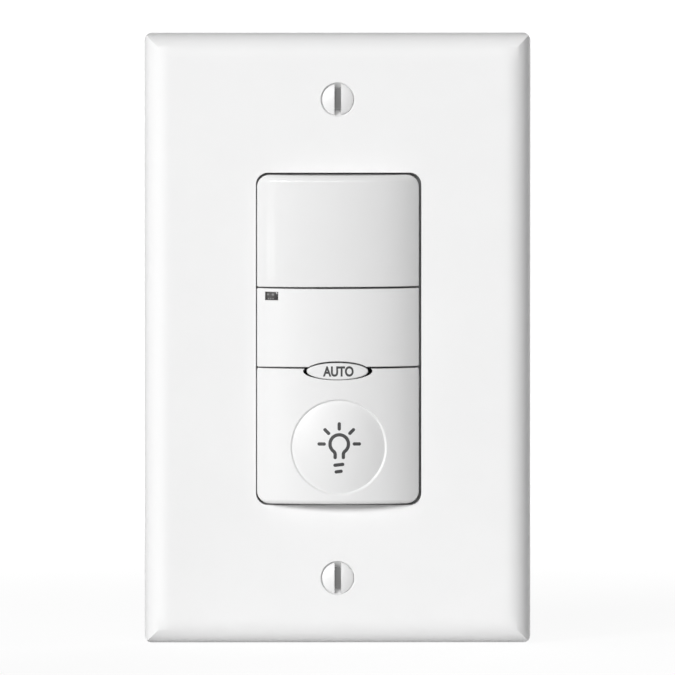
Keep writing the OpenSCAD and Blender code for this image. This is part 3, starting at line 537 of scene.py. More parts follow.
def pillow(piece, z0, z1):
    """Let the front roll off towards the top, and a little towards the other three sides."""
    cuts = [z1 - PILLOW_REACH * i / PILLOW_STEPS for i in range(1, PILLOW_STEPS + 1)]
    cuts += [z0 + PILLOW_REACH * i / SEAM_STEPS for i in range(1, SEAM_STEPS + 1)]
    edit(piece)
    for z in cuts:
        bpy.ops.mesh.select_all(action="SELECT")
        bpy.ops.mesh.bisect(plane_co=(0, 0, z), plane_no=(0, 0, 1))
    for i in range(1, CROWN_STRIPS):
        bpy.ops.mesh.select_all(action="SELECT")
        bpy.ops.mesh.bisect(plane_co=(FACE_W * (i / CROWN_STRIPS - 0.5), 0, 0), plane_no=(1, 0, 0))
    done()
    for v in piece.data.vertices:
        if v.co.y < CUP_RIM:
            along = SIDE_EASE * max(0, abs(v.co.x - FACE_EDGE_X) - FACE_W / 2 + PILLOW_REACH)
            rise = max(0, v.co.z - z1 + PILLOW_REACH, SEAM_EASE * (z0 + PILLOW_REACH - v.co.z))
            over = min(PILLOW_REACH, sqrt(along ** 2 + rise ** 2))
            v.co.y += PILLOW_R - sqrt(PILLOW_R ** 2 - over ** 2)


def narrow_seam(piece, z_edge):
    """Let the seam under a piece narrow towards the left."""
    for v in piece.data.vertices:
        if v.co.z < z_edge + SKIRT / 2 and v.co.x < 0:
            v.co.z += SEAM_TAPER * v.co.x / (FACE_W / 2)


def make_lens():
    lens = face_cup("lens_cover", *LENS_Z, SEAM_CORNER_R, FACE_CORNER_R, LENS_SKIN)
    pillow(lens, *LENS_Z)
    narrow_seam(lens, LENS_Z[0])
    bend_to_crown(lens, FACE_BACK)
    return lens


def make_panel():
    panel = face_cup("fixed_panel", *PANEL_Z, SEAM_CORNER_R, SEAM_CORNER_R, SKIN)
    carve(panel, oval_block("oval_hole", 0, OVAL_Z, OVAL_HALF_W + OVAL_GAP, OVAL_HALF_H + OVAL_GAP,
                            CUT_FRONT, CUT_BACK))
    half_w, half_h = WINDOW_W / 2 + WINDOW_GAP, WINDOW_H / 2 + WINDOW_GAP
    carve(panel, block("window_hole", (WINDOW_X - half_w, CUT_FRONT, WINDOW_Z - half_h),
                       (WINDOW_X + half_w, CUT_BACK, WINDOW_Z + half_h)))
    hole_top = OVAL_Z + OVAL_HALF_H + 2 * OVAL_GAP
    round_edges(panel, lambda p: near(p.y, 0) and p.z < hole_top and abs(p.x) < OVAL_HALF_W - 0.1,
                OVAL_HOLE_EDGE_R, 3)
    round_edges(panel, lambda p: near(p.y, 0) and abs(p.x - WINDOW_X) < half_w + 0.01
                and abs(p.z - WINDOW_Z) < half_h + 0.01, WINDOW_HOLE_EDGE_R, 3)
    narrow_seam(panel, PANEL_Z[0])
    bend_to_crown(panel, FACE_BACK)
    return panel


def dome_pad():
    """Round pad for the push plate: a sloping groove all round and a gentle dome in the middle."""
    groove = [(DISH_R + past, depth) for past, depth in PAD_GROOVE]
    rings = [PAD_DOME_R * (1 - i / PAD_RINGS) for i in range(PAD_RINGS + 1)]
    dome = [(r, dish_depth(DISH_X + r, DISH_Z)) for r in rings]
    back = [(0, SKIN), (PAD_HOLE_R, SKIN)]
    return turned("dome_pad", groove + dome + back, DISH_X, DISH_Z, PAD_SIDES)


def make_push_plate():
    plate = face_cup("push_plate", *PUSH_Z, FACE_CORNER_R, SEAM_CORNER_R, SKIN)
    carve(plate, rod("pad_hole", PAD_HOLE_R, (DISH_X, CUT_FRONT, DISH_Z), (DISH_X, SKIN + 0.5, DISH_Z),
                     PAD_SIDES))
    pick(plate, "FACE", lambda c, n: abs(n.y) < 0.1 and abs(c.x - DISH_X) < PAD_HOLE_R
         and abs(c.z - DISH_Z) < PAD_HOLE_R)
    bpy.ops.mesh.delete(type="FACE")
    done()
    carve(plate, oval_block("notch", NOTCH_X, OVAL_Z, NOTCH_HALF_W, OVAL_HALF_H + NOTCH_GAP,
                            CUT_FRONT, CUT_BACK))
    notch_low, notch_high = OVAL_Z - OVAL_HALF_H - 0.5, PUSH_Z[1] - FACE_EDGE_R - 0.01
    round_edges(plate, lambda p: near(p.y, 0) and abs(p.x) < NOTCH_HALF_W - 0.3
                and notch_low < p.z < notch_high, NOTCH_EDGE_R, 3)
    join(plate, dome_pad())
    tidy_shell(plate, 0.004)
    roll_foot(plate, PUSH_Z[0])
    bend_to_crown(plate, PUSH_BACK)
    close_shell(plate)
    hidden = [rod("post", POST_R, (0, FACE_FRONT + SKIN, DISH_Z), (0, STEM_END, DISH_Z))]
    for side in (-1, 1):
        low_x, high_x = sorted(side * x for x in LUG_X)
        hidden.append(block("lug", (low_x, LUG_FRONT, HINGE_Z - LUG_R), (high_x, HINGE_Y, HINGE_Z + LUG_R)))
        for name, r, ends in (("lug_end", LUG_R, LUG_X), ("pin", PIN_R, PIN_X)):
            start, end = [(side * x, HINGE_Y, HINGE_Z) for x in ends]
            hidden.append(rod(name, r, start, end))
    return join(plate, *hidden)


def make_oval():
    oval = oval_block("oval_button", 0, OVAL_Z, OVAL_HALF_W, OVAL_HALF_H, 0, OVAL_DEPTH)
    round_edges(oval, lambda p: near(p.y, 0), OVAL_EDGE_R, 4)
    bend_to_crown(oval, FACE_BACK, OVAL_PROUD)
    stem = rod("stem", STEM_R, (0, STEM_ROOT, OVAL_Z), (0, STEM_END, OVAL_Z))
    front, back = STEM_COLLAR_Y
    collar = rod("collar", STEM_COLLAR_R, (0, front, OVAL_Z), (0, back, OVAL_Z))
    return join(oval, stem, collar)


def make_window():
    half_w, half_h = WINDOW_W / 2, WINDOW_H / 2
    pane = block("sensor_window", (WINDOW_X - half_w, WINDOW_SUNK, WINDOW_Z - half_h),
                 (WINDOW_X + half_w, WINDOW_DEPTH, WINDOW_Z + half_h))
    round_edges(pane, lambda p: near(p.y, WINDOW_SUNK), WINDOW_EDGE_R, 2)
    bend_to_crown(pane, FACE_BACK, 0, CROWN_STRIPS * 2)
    return pane


# Wall plate

def rolled_slab(name, w, h, depth, roll):
    """Slab from the wall plane whose four front edges are rolled, wider than deep, and meet in mitres."""
    squash = ROLL_DEPTH / ROLL_W
    slab = block(name, (-w / 2, -depth / squash, -h / 2), (w / 2, 0, h / 2))
    round_edges(slab, lambda p: near(p.y, -depth / squash), roll, ROLL_STEPS)
    edit(slab)
    bpy.ops.transform.resize(value=(1, squash, 1), center_override=(0, 0, 0))
    done()
    return slab


def make_wall_plate():
    front = -PLATE_DEPTH
    back = front + PLATE_WALL
    root = back - ROOT_LAP
    plate = rolled_slab("wall_plate_cover", PLATE_W, PLATE_H, PLATE_DEPTH, ROLL_W)
    # Cuts near the corners keep the mitres from bending the shading of the long edges
    edit(plate)
    for side in (-1, 1):
        bpy.ops.mesh.select_all(action="SELECT")
        bpy.ops.mesh.bisect(plane_co=(side * (PLATE_W / 2 - MITRE_REACH), 0, 0), plane_no=(1, 0, 0))
        bpy.ops.mesh.select_all(action="SELECT")
        bpy.ops.mesh.bisect(plane_co=(0, 0, side * (PLATE_H / 2 - MITRE_REACH)), plane_no=(0, 0, 1))
    done()
    carve(plate, rounded_block("corner_tool", PLATE_W, -PLATE_H / 2, PLATE_H / 2, PLATE_CORNER_R,
                               PLATE_CORNER_R, front - 5, 5), "INTERSECT")
    hollow = rolled_slab("hollow", PLATE_W - 2 * PLATE_WALL, PLATE_H - 2 * PLATE_WALL, -back,
                         ROLL_W - PLATE_WALL)
    pick(hollow, "VERT", lambda p: near(p.y, 0))
    bpy.ops.transform.translate(value=(0, 1, 0))
    done()
    carve(plate, hollow)
    carve(plate, rounded_block("collar", OPENING_W + 2 * COLLAR_WALL, -OPENING_H / 2 - COLLAR_WALL,
                               OPENING_H / 2 + COLLAR_WALL, OPENING_R + COLLAR_WALL,
                               OPENING_R + COLLAR_WALL, root, COLLAR_BACK), "UNION")
    for side in (-1, 1):
        z = side * PLATE_SCREW_Z
        carve(plate, rod("boss", PLATE_BOSS_R, (0, root, z), (0, PLATE_BOSS_BACK, z)), "UNION")
        rib_x, rib_z = side * LONG_RIB_X, side * CROSS_RIB_Z
        carve(plate, block("long_rib", (rib_x - RIB_HALF_T, root, -LONG_RIB_END),
                           (rib_x + RIB_HALF_T, back + RIB_H, LONG_RIB_END)), "UNION")
        carve(plate, block("cross_rib", (-CROSS_RIB_END, root, rib_z - RIB_HALF_T),
                           (CROSS_RIB_END, back + RIB_H, rib_z + RIB_HALF_T)), "UNION")
    opening = rounded_block("opening", OPENING_W, -OPENING_H / 2, OPENING_H / 2, OPENING_R, OPENING_R,
                            front - 3, 3, 12)
    edit(opening)
    bpy.ops.transform.translate(value=(OPENING_X, 0, 0))
    done()
    carve(plate, opening)
    seat = [(0, front - 1), (SEAT_R + 1, front - 1), (SEAT_R, front), (SEAT_R - 0.06, front + 0.06),
            (SEAT_FOOT_R, front + SEAT_DEPTH), (PLATE_HOLE_R, front + SEAT_DEPTH + 0.16), (PLATE_HOLE_R, 1),
            (0, 1)]
    for side in (-1, 1):
        carve(plate, turned("seat_tool", seat, 0, side * PLATE_SCREW_Z, 72))
    half_w, half_h = OPENING_W / 2 + 0.02, OPENING_H / 2 + 0.02
    tidy_shell(plate, 0.002)
    round_edges(plate, lambda p: near(p.y, front) and abs(p.x - OPENING_X) < half_w and abs(p.z) < half_h,
                OPENING_EDGE_R, 4)
    return plate


# Screws

def make_plate_screw():
    """Slotted oval-head screw for the wall plate."""
    front = -PLATE_DEPTH
    dome_r = (PLATE_HEAD_R ** 2 + PLATE_HEAD_RISE ** 2) / (2 * PLATE_HEAD_RISE)
    dome = []
    for i in range(11):
        r = (PLATE_HEAD_R - 0.08) * i / 10
        dome.append((r, front - PLATE_HEAD_RISE + dome_r - sqrt(dome_r ** 2 - r ** 2)))
    rim = [(PLATE_HEAD_R, front + 0.02), (PLATE_HEAD_R - 0.02, front + 0.12)]
    shank = [(PLATE_SHANK_R, front + 1.9), (PLATE_SHANK_R, PLATE_TIP - 0.6), (PLATE_TIP_R, PLATE_TIP),
             (0, PLATE_TIP)]
    screw = turned("plate_screw_upper", dome + rim + shank, 0, PLATE_SCREW_Z, 72)
    carve(screw, block("slot", (-SLOT_HALF_W, front - 3, PLATE_SCREW_Z - 6),
                       (SLOT_HALF_W, front + SLOT_DEPTH, PLATE_SCREW_Z + 6)))
    round_edges(screw, lambda p: near(abs(p.x), SLOT_HALF_W) and p.y < front + 0.05
                and abs(p.z - PLATE_SCREW_Z) < PLATE_HEAD_R - 0.1, SLOT_EDGE_R, 2)
    join(screw, thread("plate_screw_thread", PLATE_THREAD_R, 0, PLATE_TIP - 0.3, PLATE_SCREW_Z))
    return screw


def thread(name, r, y0, y1, z):
    """Screw thread along Y: one ridge of the thread carried round and along."""
    root = r * THREAD_ROOT
    crest = [(r, 0, share * THREAD_PITCH) for share in THREAD_CREST]
    ridge = line_of_points(name, [(root, 0, 0), *crest, (root, 0, THREAD_PITCH)])
    only(ridge)
    sweep = ridge.modifiers.new("sweep", "SCREW")
    sweep.axis = "Z"
    sweep.screw_offset = THREAD_PITCH
    sweep.iterations = max(1, int((y1 - y0) / THREAD_PITCH) - 1)
    sweep.steps = THREAD_STEPS
    sweep.render_steps = THREAD_STEPS
    sweep.use_merge_vertices = True
    bpy.ops.object.modifier_apply(modifier=sweep.name)
    edit(ridge)
    bpy.ops.transform.rotate(value=radians(90), orient_axis="X", center_override=(0, 0, 0))
    done()
    low = min(v.co.y for v in ridge.data.vertices)
    edit(ridge)
    bpy.ops.transform.translate(value=(0, y0 - low, z))
    done()
    edit(ridge)
    bpy.ops.mesh.fill_holes(sides=0)
    done()
    tidy_shell(ridge)
    return ridge


def make_box_screw():
    """Pan-head screw that holds the strap to the wall box, with its thread."""
    head = [(r, BOX_SEAT - up) for r, up in BOX_HEAD]
    neck = [(BOX_NECK_R, BOX_SEAT), (BOX_NECK_R, 0)]
    shank = [(BOX_CORE_R, 0.05), (BOX_CORE_R, BOX_TIP - 0.8), (BOX_TIP_R, BOX_TIP), (0, BOX_TIP)]
    screw = turned("box_screw_upper", head + neck + shank, 0, BOX_SCREW_Z, 56)
    for half_x, half_z in ((BOX_CROSS_REACH, BOX_CROSS_HALF_W), (BOX_CROSS_HALF_W, BOX_CROSS_REACH)):
        carve(screw, block("cross", (-half_x, BOX_SEAT - 4, BOX_SCREW_Z - half_z),
                           (half_x, BOX_CROSS_FLOOR, BOX_SCREW_Z + half_z)))
    join(screw, thread("box_screw_thread", BOX_THREAD_R, 0.1, BOX_TIP - 0.6, BOX_SCREW_Z))
    return screw


def lower_twin(piece, name, z):
    """Copy of an upper screw, carried down to the lower place."""
    copy = twin(piece, name)
    edit(copy)
    bpy.ops.transform.translate(value=(0, 0, -2 * z))
    done()
    return copy


# Housing and fittings behind the strap

def from_cad(node, name):
    """Copy of a CAD piece in millimetres, merged into one clean shell."""
    piece = bpy.data.objects.new(name, frame["nodes"][node].data.copy())
    piece.data.name = name
    bpy.context.scene.collection.objects.link(piece)
    only(piece)
    bpy.ops.mesh.customdata_custom_splitnormals_clear()
    piece.scale = (1 / MM, 1 / MM, 1 / MM)
    bpy.ops.object.transform_apply(location=True, rotation=True, scale=True)
    edit(piece)
    bpy.ops.mesh.remove_doubles(threshold=0.002)
    bpy.ops.mesh.dissolve_limited(angle_limit=radians(1))
    done()
    return piece


def ease(piece, radius):
    """Ease every sharp edge of a piece a little."""
    only(piece)
    edges = piece.modifiers.new("ease", "BEVEL")
    edges.limit_method = "ANGLE"
    edges.angle_limit = radians(40)
    edges.width = radius
    edges.segments = 2
    bpy.ops.object.modifier_apply(modifier=edges.name)
    return piece


def on_case_outline(p):
    """Whether a point lies on the outer outline of the housing, seen from behind."""
    over_x = abs(p.x) - CASE_W / 2 + CASE_CORNER_R
    over_z = abs(p.z) - CASE_H / 2 + CASE_CORNER_R
    if over_x > 0 and over_z > 0:
        return near(sqrt(over_x ** 2 + over_z ** 2), CASE_CORNER_R, 0.1)
    return near(over_x, CASE_CORNER_R) or near(over_z, CASE_CORNER_R)


def make_rear_case():
    """Housing with a rounded rear edge, soft pocket mouths and eased screw bores."""
    case = from_cad("rear_housing", "rear_case")
    round_edges(case, lambda p: near(p.y, CASE_BACK) and on_case_outline(p), CASE_EDGE_R, 5)
    bore = CASE_BORE_R + OUTLINE_SLACK
    round_edges(case, lambda p: near(p.y, CASE_BACK) and abs(abs(p.x) - CASE_SCREW_X) < bore
                and abs(abs(p.z) - CASE_SCREW_Z) < bore, BORE_EDGE_R, 2)
    front, back = POCKET_Y[0] - OUTLINE_SLACK, POCKET_Y[1] + OUTLINE_SLACK
    for x, z in POCKETS:
        round_edges(case, lambda p: near(p.x, x) and front < p.y < back
                    and abs(p.z - z) < POCKET_HALF_H + OUTLINE_SLACK, POCKET_EDGE_R, 3)
    return case


def rear_screw(name, x, z, seat, head_r, head_h, shank_r, tip):
    """Pan-head screw put in from behind, with a cross recess."""
    head = [(head_r * r, seat + head_h * up) for r, up in REAR_HEAD]
    screw = turned(name, head + [(shank_r, seat), (shank_r, tip), (0, tip)], x, z, 48)
    reach, half_w = head_r * REAR_CROSS_REACH, head_r * REAR_CROSS_HALF_W
    for half_x, half_z in ((reach, half_w), (half_w, reach)):
        carve(screw, block("cross", (x - half_x, seat + head_h * REAR_CROSS_FLOOR, z - half_z),
                           (x + half_x, seat + head_h + 1, z + half_z)))
    return screw


def make_snap_dome(name, z):
    """Thin sprung dome whose rim stands on the floor of a push switch."""
    ball = (DOME_R ** 2 + DOME_RISE ** 2) / (2 * DOME_RISE)
    middle = DOME_FLOOR - DOME_RISE + ball
    hollow = ball - DOME_SKIN
    inner_rim = sqrt(hollow ** 2 - (ball - DOME_RISE) ** 2)
    outer, inner = [], []
    for i in range(DOME_RINGS + 1):
        r = DOME_R * i / DOME_RINGS
        outer.append((r, middle - sqrt(ball ** 2 - r ** 2)))
        r = inner_rim * i / DOME_RINGS
        inner.append((r, middle - sqrt(hollow ** 2 - r ** 2)))
    return turned(name, outer + inner[::-1], 0, z, 48)


# Printed signs

def lay_print(piece, floor):
    """Give a flat printed shape a little thickness and lay it on the crowned face."""
    edit(piece)
    bpy.ops.mesh.extrude_region_move(TRANSFORM_OT_translate={"value": (0, PRINT_FOOT - PRINT_TOP, 0)})
    done()
    tidy_shell(piece, 0.0005)
    edit(piece)
    for i in range(1, 2 * CROWN_STRIPS):
        bpy.ops.mesh.select_all(action="SELECT")
        bpy.ops.mesh.bisect(plane_co=(FACE_W * (i / (2 * CROWN_STRIPS) - 0.5), 0, 0), plane_no=(1, 0, 0))
    done()
    for v in piece.data.vertices:
        v.co.y += FACE_FRONT + crown_drop(v.co.x) + floor(v.co.x, v.co.z)
        v.co.x += FACE_X


def bar_stroke(name, a, b):
    """Straight printed stroke with round ends between two points given as x and z."""
    ax, az = a
    bx, bz = b
    length = sqrt((bx - ax) ** 2 + (bz - az) ** 2)
    turn = asin((bz - az) / length)
    bpy.ops.mesh.primitive_plane_add(size=1, location=((ax + bx) / 2, PRINT_TOP, (az + bz) / 2),
                                     rotation=(radians(90), -turn, 0))
    stroke = named(name, (length, STROKE, 1))
    edit(stroke)
    bpy.ops.mesh.bevel(offset=STROKE_END, segments=8, affect="VERTICES")
    done()
    return stroke


def bulb_stroke(name):
    """Outline of the bulb: round head, drawn-in neck and two legs, as one stroke."""
    reach = BULB_HEAD_R + BULB_NECK_R
    neck_x = BULB_LEG_X + BULB_NECK_R
    fall = sqrt(reach ** 2 - neck_x ** 2)
    sweep = pi / 2 + asin(fall / reach)
    neck_sweep = sweep - pi / 2
    top = BULB_Z + BULB_HEAD_R
    neck = (BULB_X + neck_x, 0, BULB_Z - fall)
    half = line_of_points(name, [(BULB_X, PRINT_TOP, top + STROKE * share) for share in (-0.5, 0.5)])
    edit(half)
    bpy.ops.mesh.spin(steps=40, angle=sweep, center=(BULB_X, 0, BULB_Z), axis=(0, -1, 0))
    bpy.ops.mesh.spin(steps=12, angle=-neck_sweep, center=neck, axis=(0, -1, 0))
    bpy.ops.mesh.extrude_region_move(TRANSFORM_OT_translate={"value": (0, 0, -BULB_LEG)})
    done()
    low = min(v.co.z for v in half.data.vertices)
    pick(half, "VERT", lambda p: near(p.z, low))
    bpy.ops.mesh.bevel(offset=STROKE_END, segments=8, affect="VERTICES")
    done()
    other = twin(half, "other_half")
    edit(other)
    bpy.ops.transform.mirror(constraint_axis=(True, False, False), center_override=(BULB_X, 0, BULB_Z))
    done()
    return join(half, other)


def make_bulb_sign():
    sign = bulb_stroke("bulb_sign")
    strokes = []
    for name, ends in (("base_bar", BASE_BAR), ("foot_bar", FOOT_BAR)):
        strokes.append(bar_stroke(name, *[(DISH_X + x, DISH_Z + z) for x, z in ends]))
    for turn in range(0, 181, 45):
        a = radians(turn)
        ends = sorted((BULB_X + r * cos(a), BULB_Z + r * sin(a)) for r in (RAY_START, RAY_END))
        strokes.append(bar_stroke("ray", *ends))
    join(sign, *strokes)
    tidy_shell(sign, 0.0005)
    lay_print(sign, dish_depth)
    return sign


def make_word():
    """Generic mode word on the oval button."""
    bpy.ops.object.text_add(location=(0, 0, 0), rotation=(radians(90), 0, 0))
    word = bpy.context.object
    word.data.body = "AUTO"
    word.data.align_x = "CENTER"
    word.data.align_y = "CENTER"
    word.data.resolution_u = 6
    word.data.offset = WORD_WEIGHT
    bpy.ops.object.convert(target="MESH")
    word = named("mode_word")
    low = Vector([min(v.co[i] for v in word.data.vertices) for i in range(3)])
    high = Vector([max(v.co[i] for v in word.data.vertices) for i in range(3)])
    edit(word)
    bpy.ops.transform.translate(value=-(low + high) / 2)
    bpy.ops.transform.resize(value=(WORD_W / (high.x - low.x), 1, WORD_H / (high.z - low.z)),
                             center_override=(0, 0, 0))
    bpy.ops.transform.translate(value=(WORD_X, PRINT_TOP, OVAL_Z))
    done()
    lay_print(word, lambda x, z: -OVAL_PROUD)
    return word


# Finishes

class Wire:
    """A shader value that can be used in sums; every sum adds its Math node."""

    def __init__(self, sheet, socket):
        self.sheet = sheet
        self.socket = socket

    def maths(self, operation, first, second):
        return self.sheet.node("ShaderNodeMath", {"operation": operation}, {0: first, 1: second})

    def __add__(self, other):
        return self.maths("ADD", self, other)

    __radd__ = __add__

    def __sub__(self, other):
        return self.maths("SUBTRACT", self, other)

    def __rsub__(self, other):
        return self.maths("SUBTRACT", other, self)

    def __mul__(self, other):
        return self.maths("MULTIPLY", self, other)

    __rmul__ = __mul__


class Sheet:
    """A node tree that is filled one node at a time."""

    def __init__(self, tree):
        self.tree = tree
        tree.nodes.clear()

    def node(self, kind, settings=None, inputs=None, output=0):
        made = self.tree.nodes.new(kind)
        for key, value in (settings or {}).items():
            setattr(made, key, value)
        for key, value in (inputs or {}).items():
            if isinstance(value, Wire):
                self.tree.links.new(value.socket, made.inputs[key])
            else:
                made.inputs[key].default_value = value
        return Wire(self, made.outputs[output]) if made.outputs else None

    def place(self):
        return self.node("ShaderNodeTexCoord", output=3)

    def noise(self, vector, scale, detail=2.0):
        return self.node("ShaderNodeTexNoise", {}, {"Vector": vector, "Scale": scale, "Detail": detail})

    def stretched(self, vector, scale):
        return self.node("ShaderNodeMapping", {}, {"Vector": vector, "Scale": scale})

    def between(self, share, low, high):
        """Colour between two colours, by a share."""
        return self.node("ShaderNodeMix", {"data_type": "RGBA"},
                         {0: share, 6: (*low, 1), 7: (*high, 1)}, output=2)

    def bump(self, height, depth):
        return self.node("ShaderNodeBump", {}, {"Height": height, "Strength": 1.0, "Distance": depth})

    def surface(self, **sockets):
        inputs = {name.replace("_", " "): value for name, value in sockets.items()}
        paint = self.node("ShaderNodeBsdfPrincipled", {}, inputs)
        self.node("ShaderNodeOutputMaterial", {}, {"Surface": paint})

    def fade(self, value, start, end, first=0.0, last=1.0):
        """Soft change from a first to a last number while a value goes from start to end."""
        return self.node("ShaderNodeMapRange", {"interpolation_type": "SMOOTHSTEP"},
                         {"Value": value, "From Min": start, "From Max": end,
                          "To Min": first, "To Max": last})

    def below(self, value, limit):
        return self.node("ShaderNodeMath", {"operation": "LESS_THAN"}, {0: value, 1: limit})

    def away(self, place, x, z):
        """Distance in the X-Z plane from a point given in millimetres."""
        return self.node("ShaderNodeVectorMath", {"operation": "DISTANCE"},
                         {0: self.stretched(place, (1, 0, 1)), 1: (x * MM, 0, z * MM)}, output=1)

    def looking(self):
        """1 for rays that come from the camera, off a gloss or through glass, and 0 for light."""
        rays = "ShaderNodeLightPath"
        return (self.node(rays, output="Is Camera Ray") + self.node(rays, output="Is Glossy Ray")
                + self.node(rays, output="Is Transmission Ray"))


FINISH = {}


def new_finish(name):
    FINISH[name] = bpy.data.materials.new(name)
    FINISH[name].use_nodes = True
    return Sheet(FINISH[name].node_tree)


def tint(colour, factor):
    return tuple(c * factor for c in colour)


def moulded(name, colour, rough, skin=1900, skin_depth=2.5e-6, clouds=0.02, gloss=0.5, wear=0.12):
    """Moulded plastic: faint flow clouds in the colour, uneven polish and a fine skin."""
    sheet = new_finish(name)
    spot = sheet.place()
    cloud = sheet.noise(spot, 70, 3)
    polish = sheet.noise(spot, 420, 2)
    grain = sheet.noise(spot, skin, 2)
    sheet.surface(Base_Color=sheet.between(cloud, tint(colour, 1 - clouds), tint(colour, 1 + clouds)),
                  Roughness=rough + wear * (polish - 0.5),
                  Specular_IOR_Level=gloss,
                  Normal=sheet.bump(grain, skin_depth))


def painted_screw(name, colour, slot_steel_and_shade):
    """White-painted screw whose slot is coloured dark steel grey: bare steel, with painted shade in the slot.
    """
    sheet = new_finish(name)
    spot = sheet.place()
    across = sheet.node("ShaderNodeSeparateXYZ", {}, {"Vector": spot}, output="X")
    depth = sheet.node("ShaderNodeSeparateXYZ", {}, {"Vector": spot}, output="Y")
    aside = sheet.node("ShaderNodeMath", {"operation": "ABSOLUTE"}, {0: across})
    # Bare steel with painted shade: the strip of the slot, from the head's front back to the slot's floor,
    # takes the dark colour
    slot = sheet.below(aside, (SLOT_HALF_W + LOOK_LAP) * MM)
    upper = sheet.below(depth, (SLOT_DEPTH - PLATE_DEPTH + LOOK_LAP) * MM)
    grain = sheet.noise(spot, 2600, 2)
    sheet.surface(Base_Color=sheet.between(slot * upper, colour, slot_steel_and_shade),
                  Roughness=0.36 + 0.12 * (grain - 0.5),
                  Normal=sheet.bump(grain, 2e-6))


def smoked_pane(name, colour, lit):
    """Smoked window with the parts behind it showing as faint pale spots."""
    sheet = new_finish(name)
    spot = sheet.place()
    seen = 0.0
    for x, z, reach in WINDOW_SPOTS:
        seen = seen + sheet.fade(sheet.away(spot, x, z), 0, reach * MM, 1, 0)
    dust = sheet.noise(spot, 2400, 2)
    sheet.surface(Base_Color=sheet.between(seen * (0.6 + 0.5 * dust), colour, lit),
                  Roughness=0.1 + 0.06 * dust)


def rolled_metal(name, colour, rough, lines=(1, 1, 60), depth=1.5e-6, stain=0.12):
    """Rolled or plated metal: fine lines one way, cloudy plating and duller spots."""
    sheet = new_finish(name)
    spot = sheet.place()
    streak = sheet.noise(sheet.stretched(spot, lines), 900, 3)
    cloud = sheet.noise(spot, 160, 4)
    sheet.surface(Base_Color=sheet.between(cloud, tint(colour, 1 - stain), tint(colour, 1 + stain * 0.4)),
                  Metallic=1.0,
                  Roughness=rough + 0.18 * (cloud - 0.5) + 0.14 * (streak - 0.5),
                  Normal=sheet.bump(streak, depth))


def zinc_with_painted_thread_shade(name, crest, groove):
    """Plated box screw with painted shade in its thread: the colour darkens from the crest to the root of
    each groove.
    """
    sheet = new_finish(name)
    spot = sheet.place()
    upper = sheet.node("ShaderNodeVectorMath", {"operation": "ABSOLUTE"}, {0: spot})
    away = sheet.away(upper, 0, BOX_SCREW_Z)
    # Painted shade: the groove colour at the thread's root fades to the crest colour at its top, and the tip
    # stays light
    height = sheet.fade(away, BOX_CORE_R * MM, BOX_THREAD_R * MM)
    inside = sheet.below(away, (BOX_CORE_R - LOOK_LAP) * MM)
    cloud = sheet.noise(spot, 160, 4)
    sheet.surface(Base_Color=sheet.between(height + inside, groove, crest),
                  Metallic=1.0,
                  Roughness=0.34 + 0.18 * (cloud - 0.5))


def spangled_steel(name, colour):
    """Galvanised sheet: crystal patches of zinc, each with its own brightness."""
    sheet = new_finish(name)
    spot = sheet.place()
    crystal = sheet.node("ShaderNodeTexVoronoi", {"feature": "F1"}, {"Vector": spot, "Scale": 420}, output=1)
    patch = sheet.node("ShaderNodeSeparateColor", {}, {"Color": crystal})
    scratch = sheet.noise(sheet.stretched(spot, (1, 1, 40)), 700, 3)
    cloud = sheet.noise(spot, 120, 3)
    sheet.surface(Base_Color=sheet.between(0.6 * patch + 0.4 * cloud, tint(colour, 0.86), colour),
                  Metallic=1.0,
                  Roughness=0.42 + 0.14 * patch + 0.1 * (scratch - 0.5),
                  Normal=sheet.bump(scratch + 0.6 * patch, 2e-6))


def solder_mask(name, colour, trace):
    """Circuit board: matt mask with tracks that show as paler lines."""
    sheet = new_finish(name)
    spot = sheet.place()
    turned_spot = sheet.node("ShaderNodeMapping", {}, {"Vector": spot, "Rotation": (radians(90), 0, 0)})
    track = sheet.node("ShaderNodeTexBrick", {"offset": 0.37, "squash": 1.6},
                       {"Vector": turned_spot, "Scale": 220, "Mortar Size": 0.09, "Color1": (0, 0, 0, 1),
                        "Color2": (0, 0, 0, 1), "Mortar": (1, 1, 1, 1)})
    shine = sheet.noise(spot, 900, 2)
    share = sheet.node("ShaderNodeSeparateColor", {}, {"Color": track})
    sheet.surface(Base_Color=sheet.between(share, colour, trace), Roughness=0.36 + 0.12 * shine,
                  Normal=sheet.bump(share, 1e-5))


moulded("plate_white", (0.86, 0.86, 0.86), 0.52, gloss=0.3)
moulded("face_white", (0.79, 0.79, 0.79), 0.42, gloss=0.4)
moulded("lens_pearl", (0.785, 0.785, 0.785), 0.09, skin=5200, skin_depth=1e-7, gloss=0.22, wear=0.03)
# The second colour is the slot's: bare steel with painted shade
painted_screw("screw_white", (0.83, 0.83, 0.83), (0.34, 0.34, 0.34))
smoked_pane("window_smoke", (0.025, 0.023, 0.023), (0.22, 0.22, 0.22))
moulded("frame_grey", (0.45, 0.455, 0.46), 0.5, skin=2400, skin_depth=5e-6, clouds=0.05)
moulded("housing_grey", (0.07, 0.072, 0.076), 0.46, skin=2200, skin_depth=8e-6, clouds=0.08)
moulded("print_grey", (0.025, 0.025, 0.026), 0.55, skin=5200, skin_depth=2e-6, clouds=0.1)
spangled_steel("strap_steel", (0.55, 0.56, 0.57))
rolled_metal("screw_zinc", (0.76, 0.74, 0.68), 0.32)
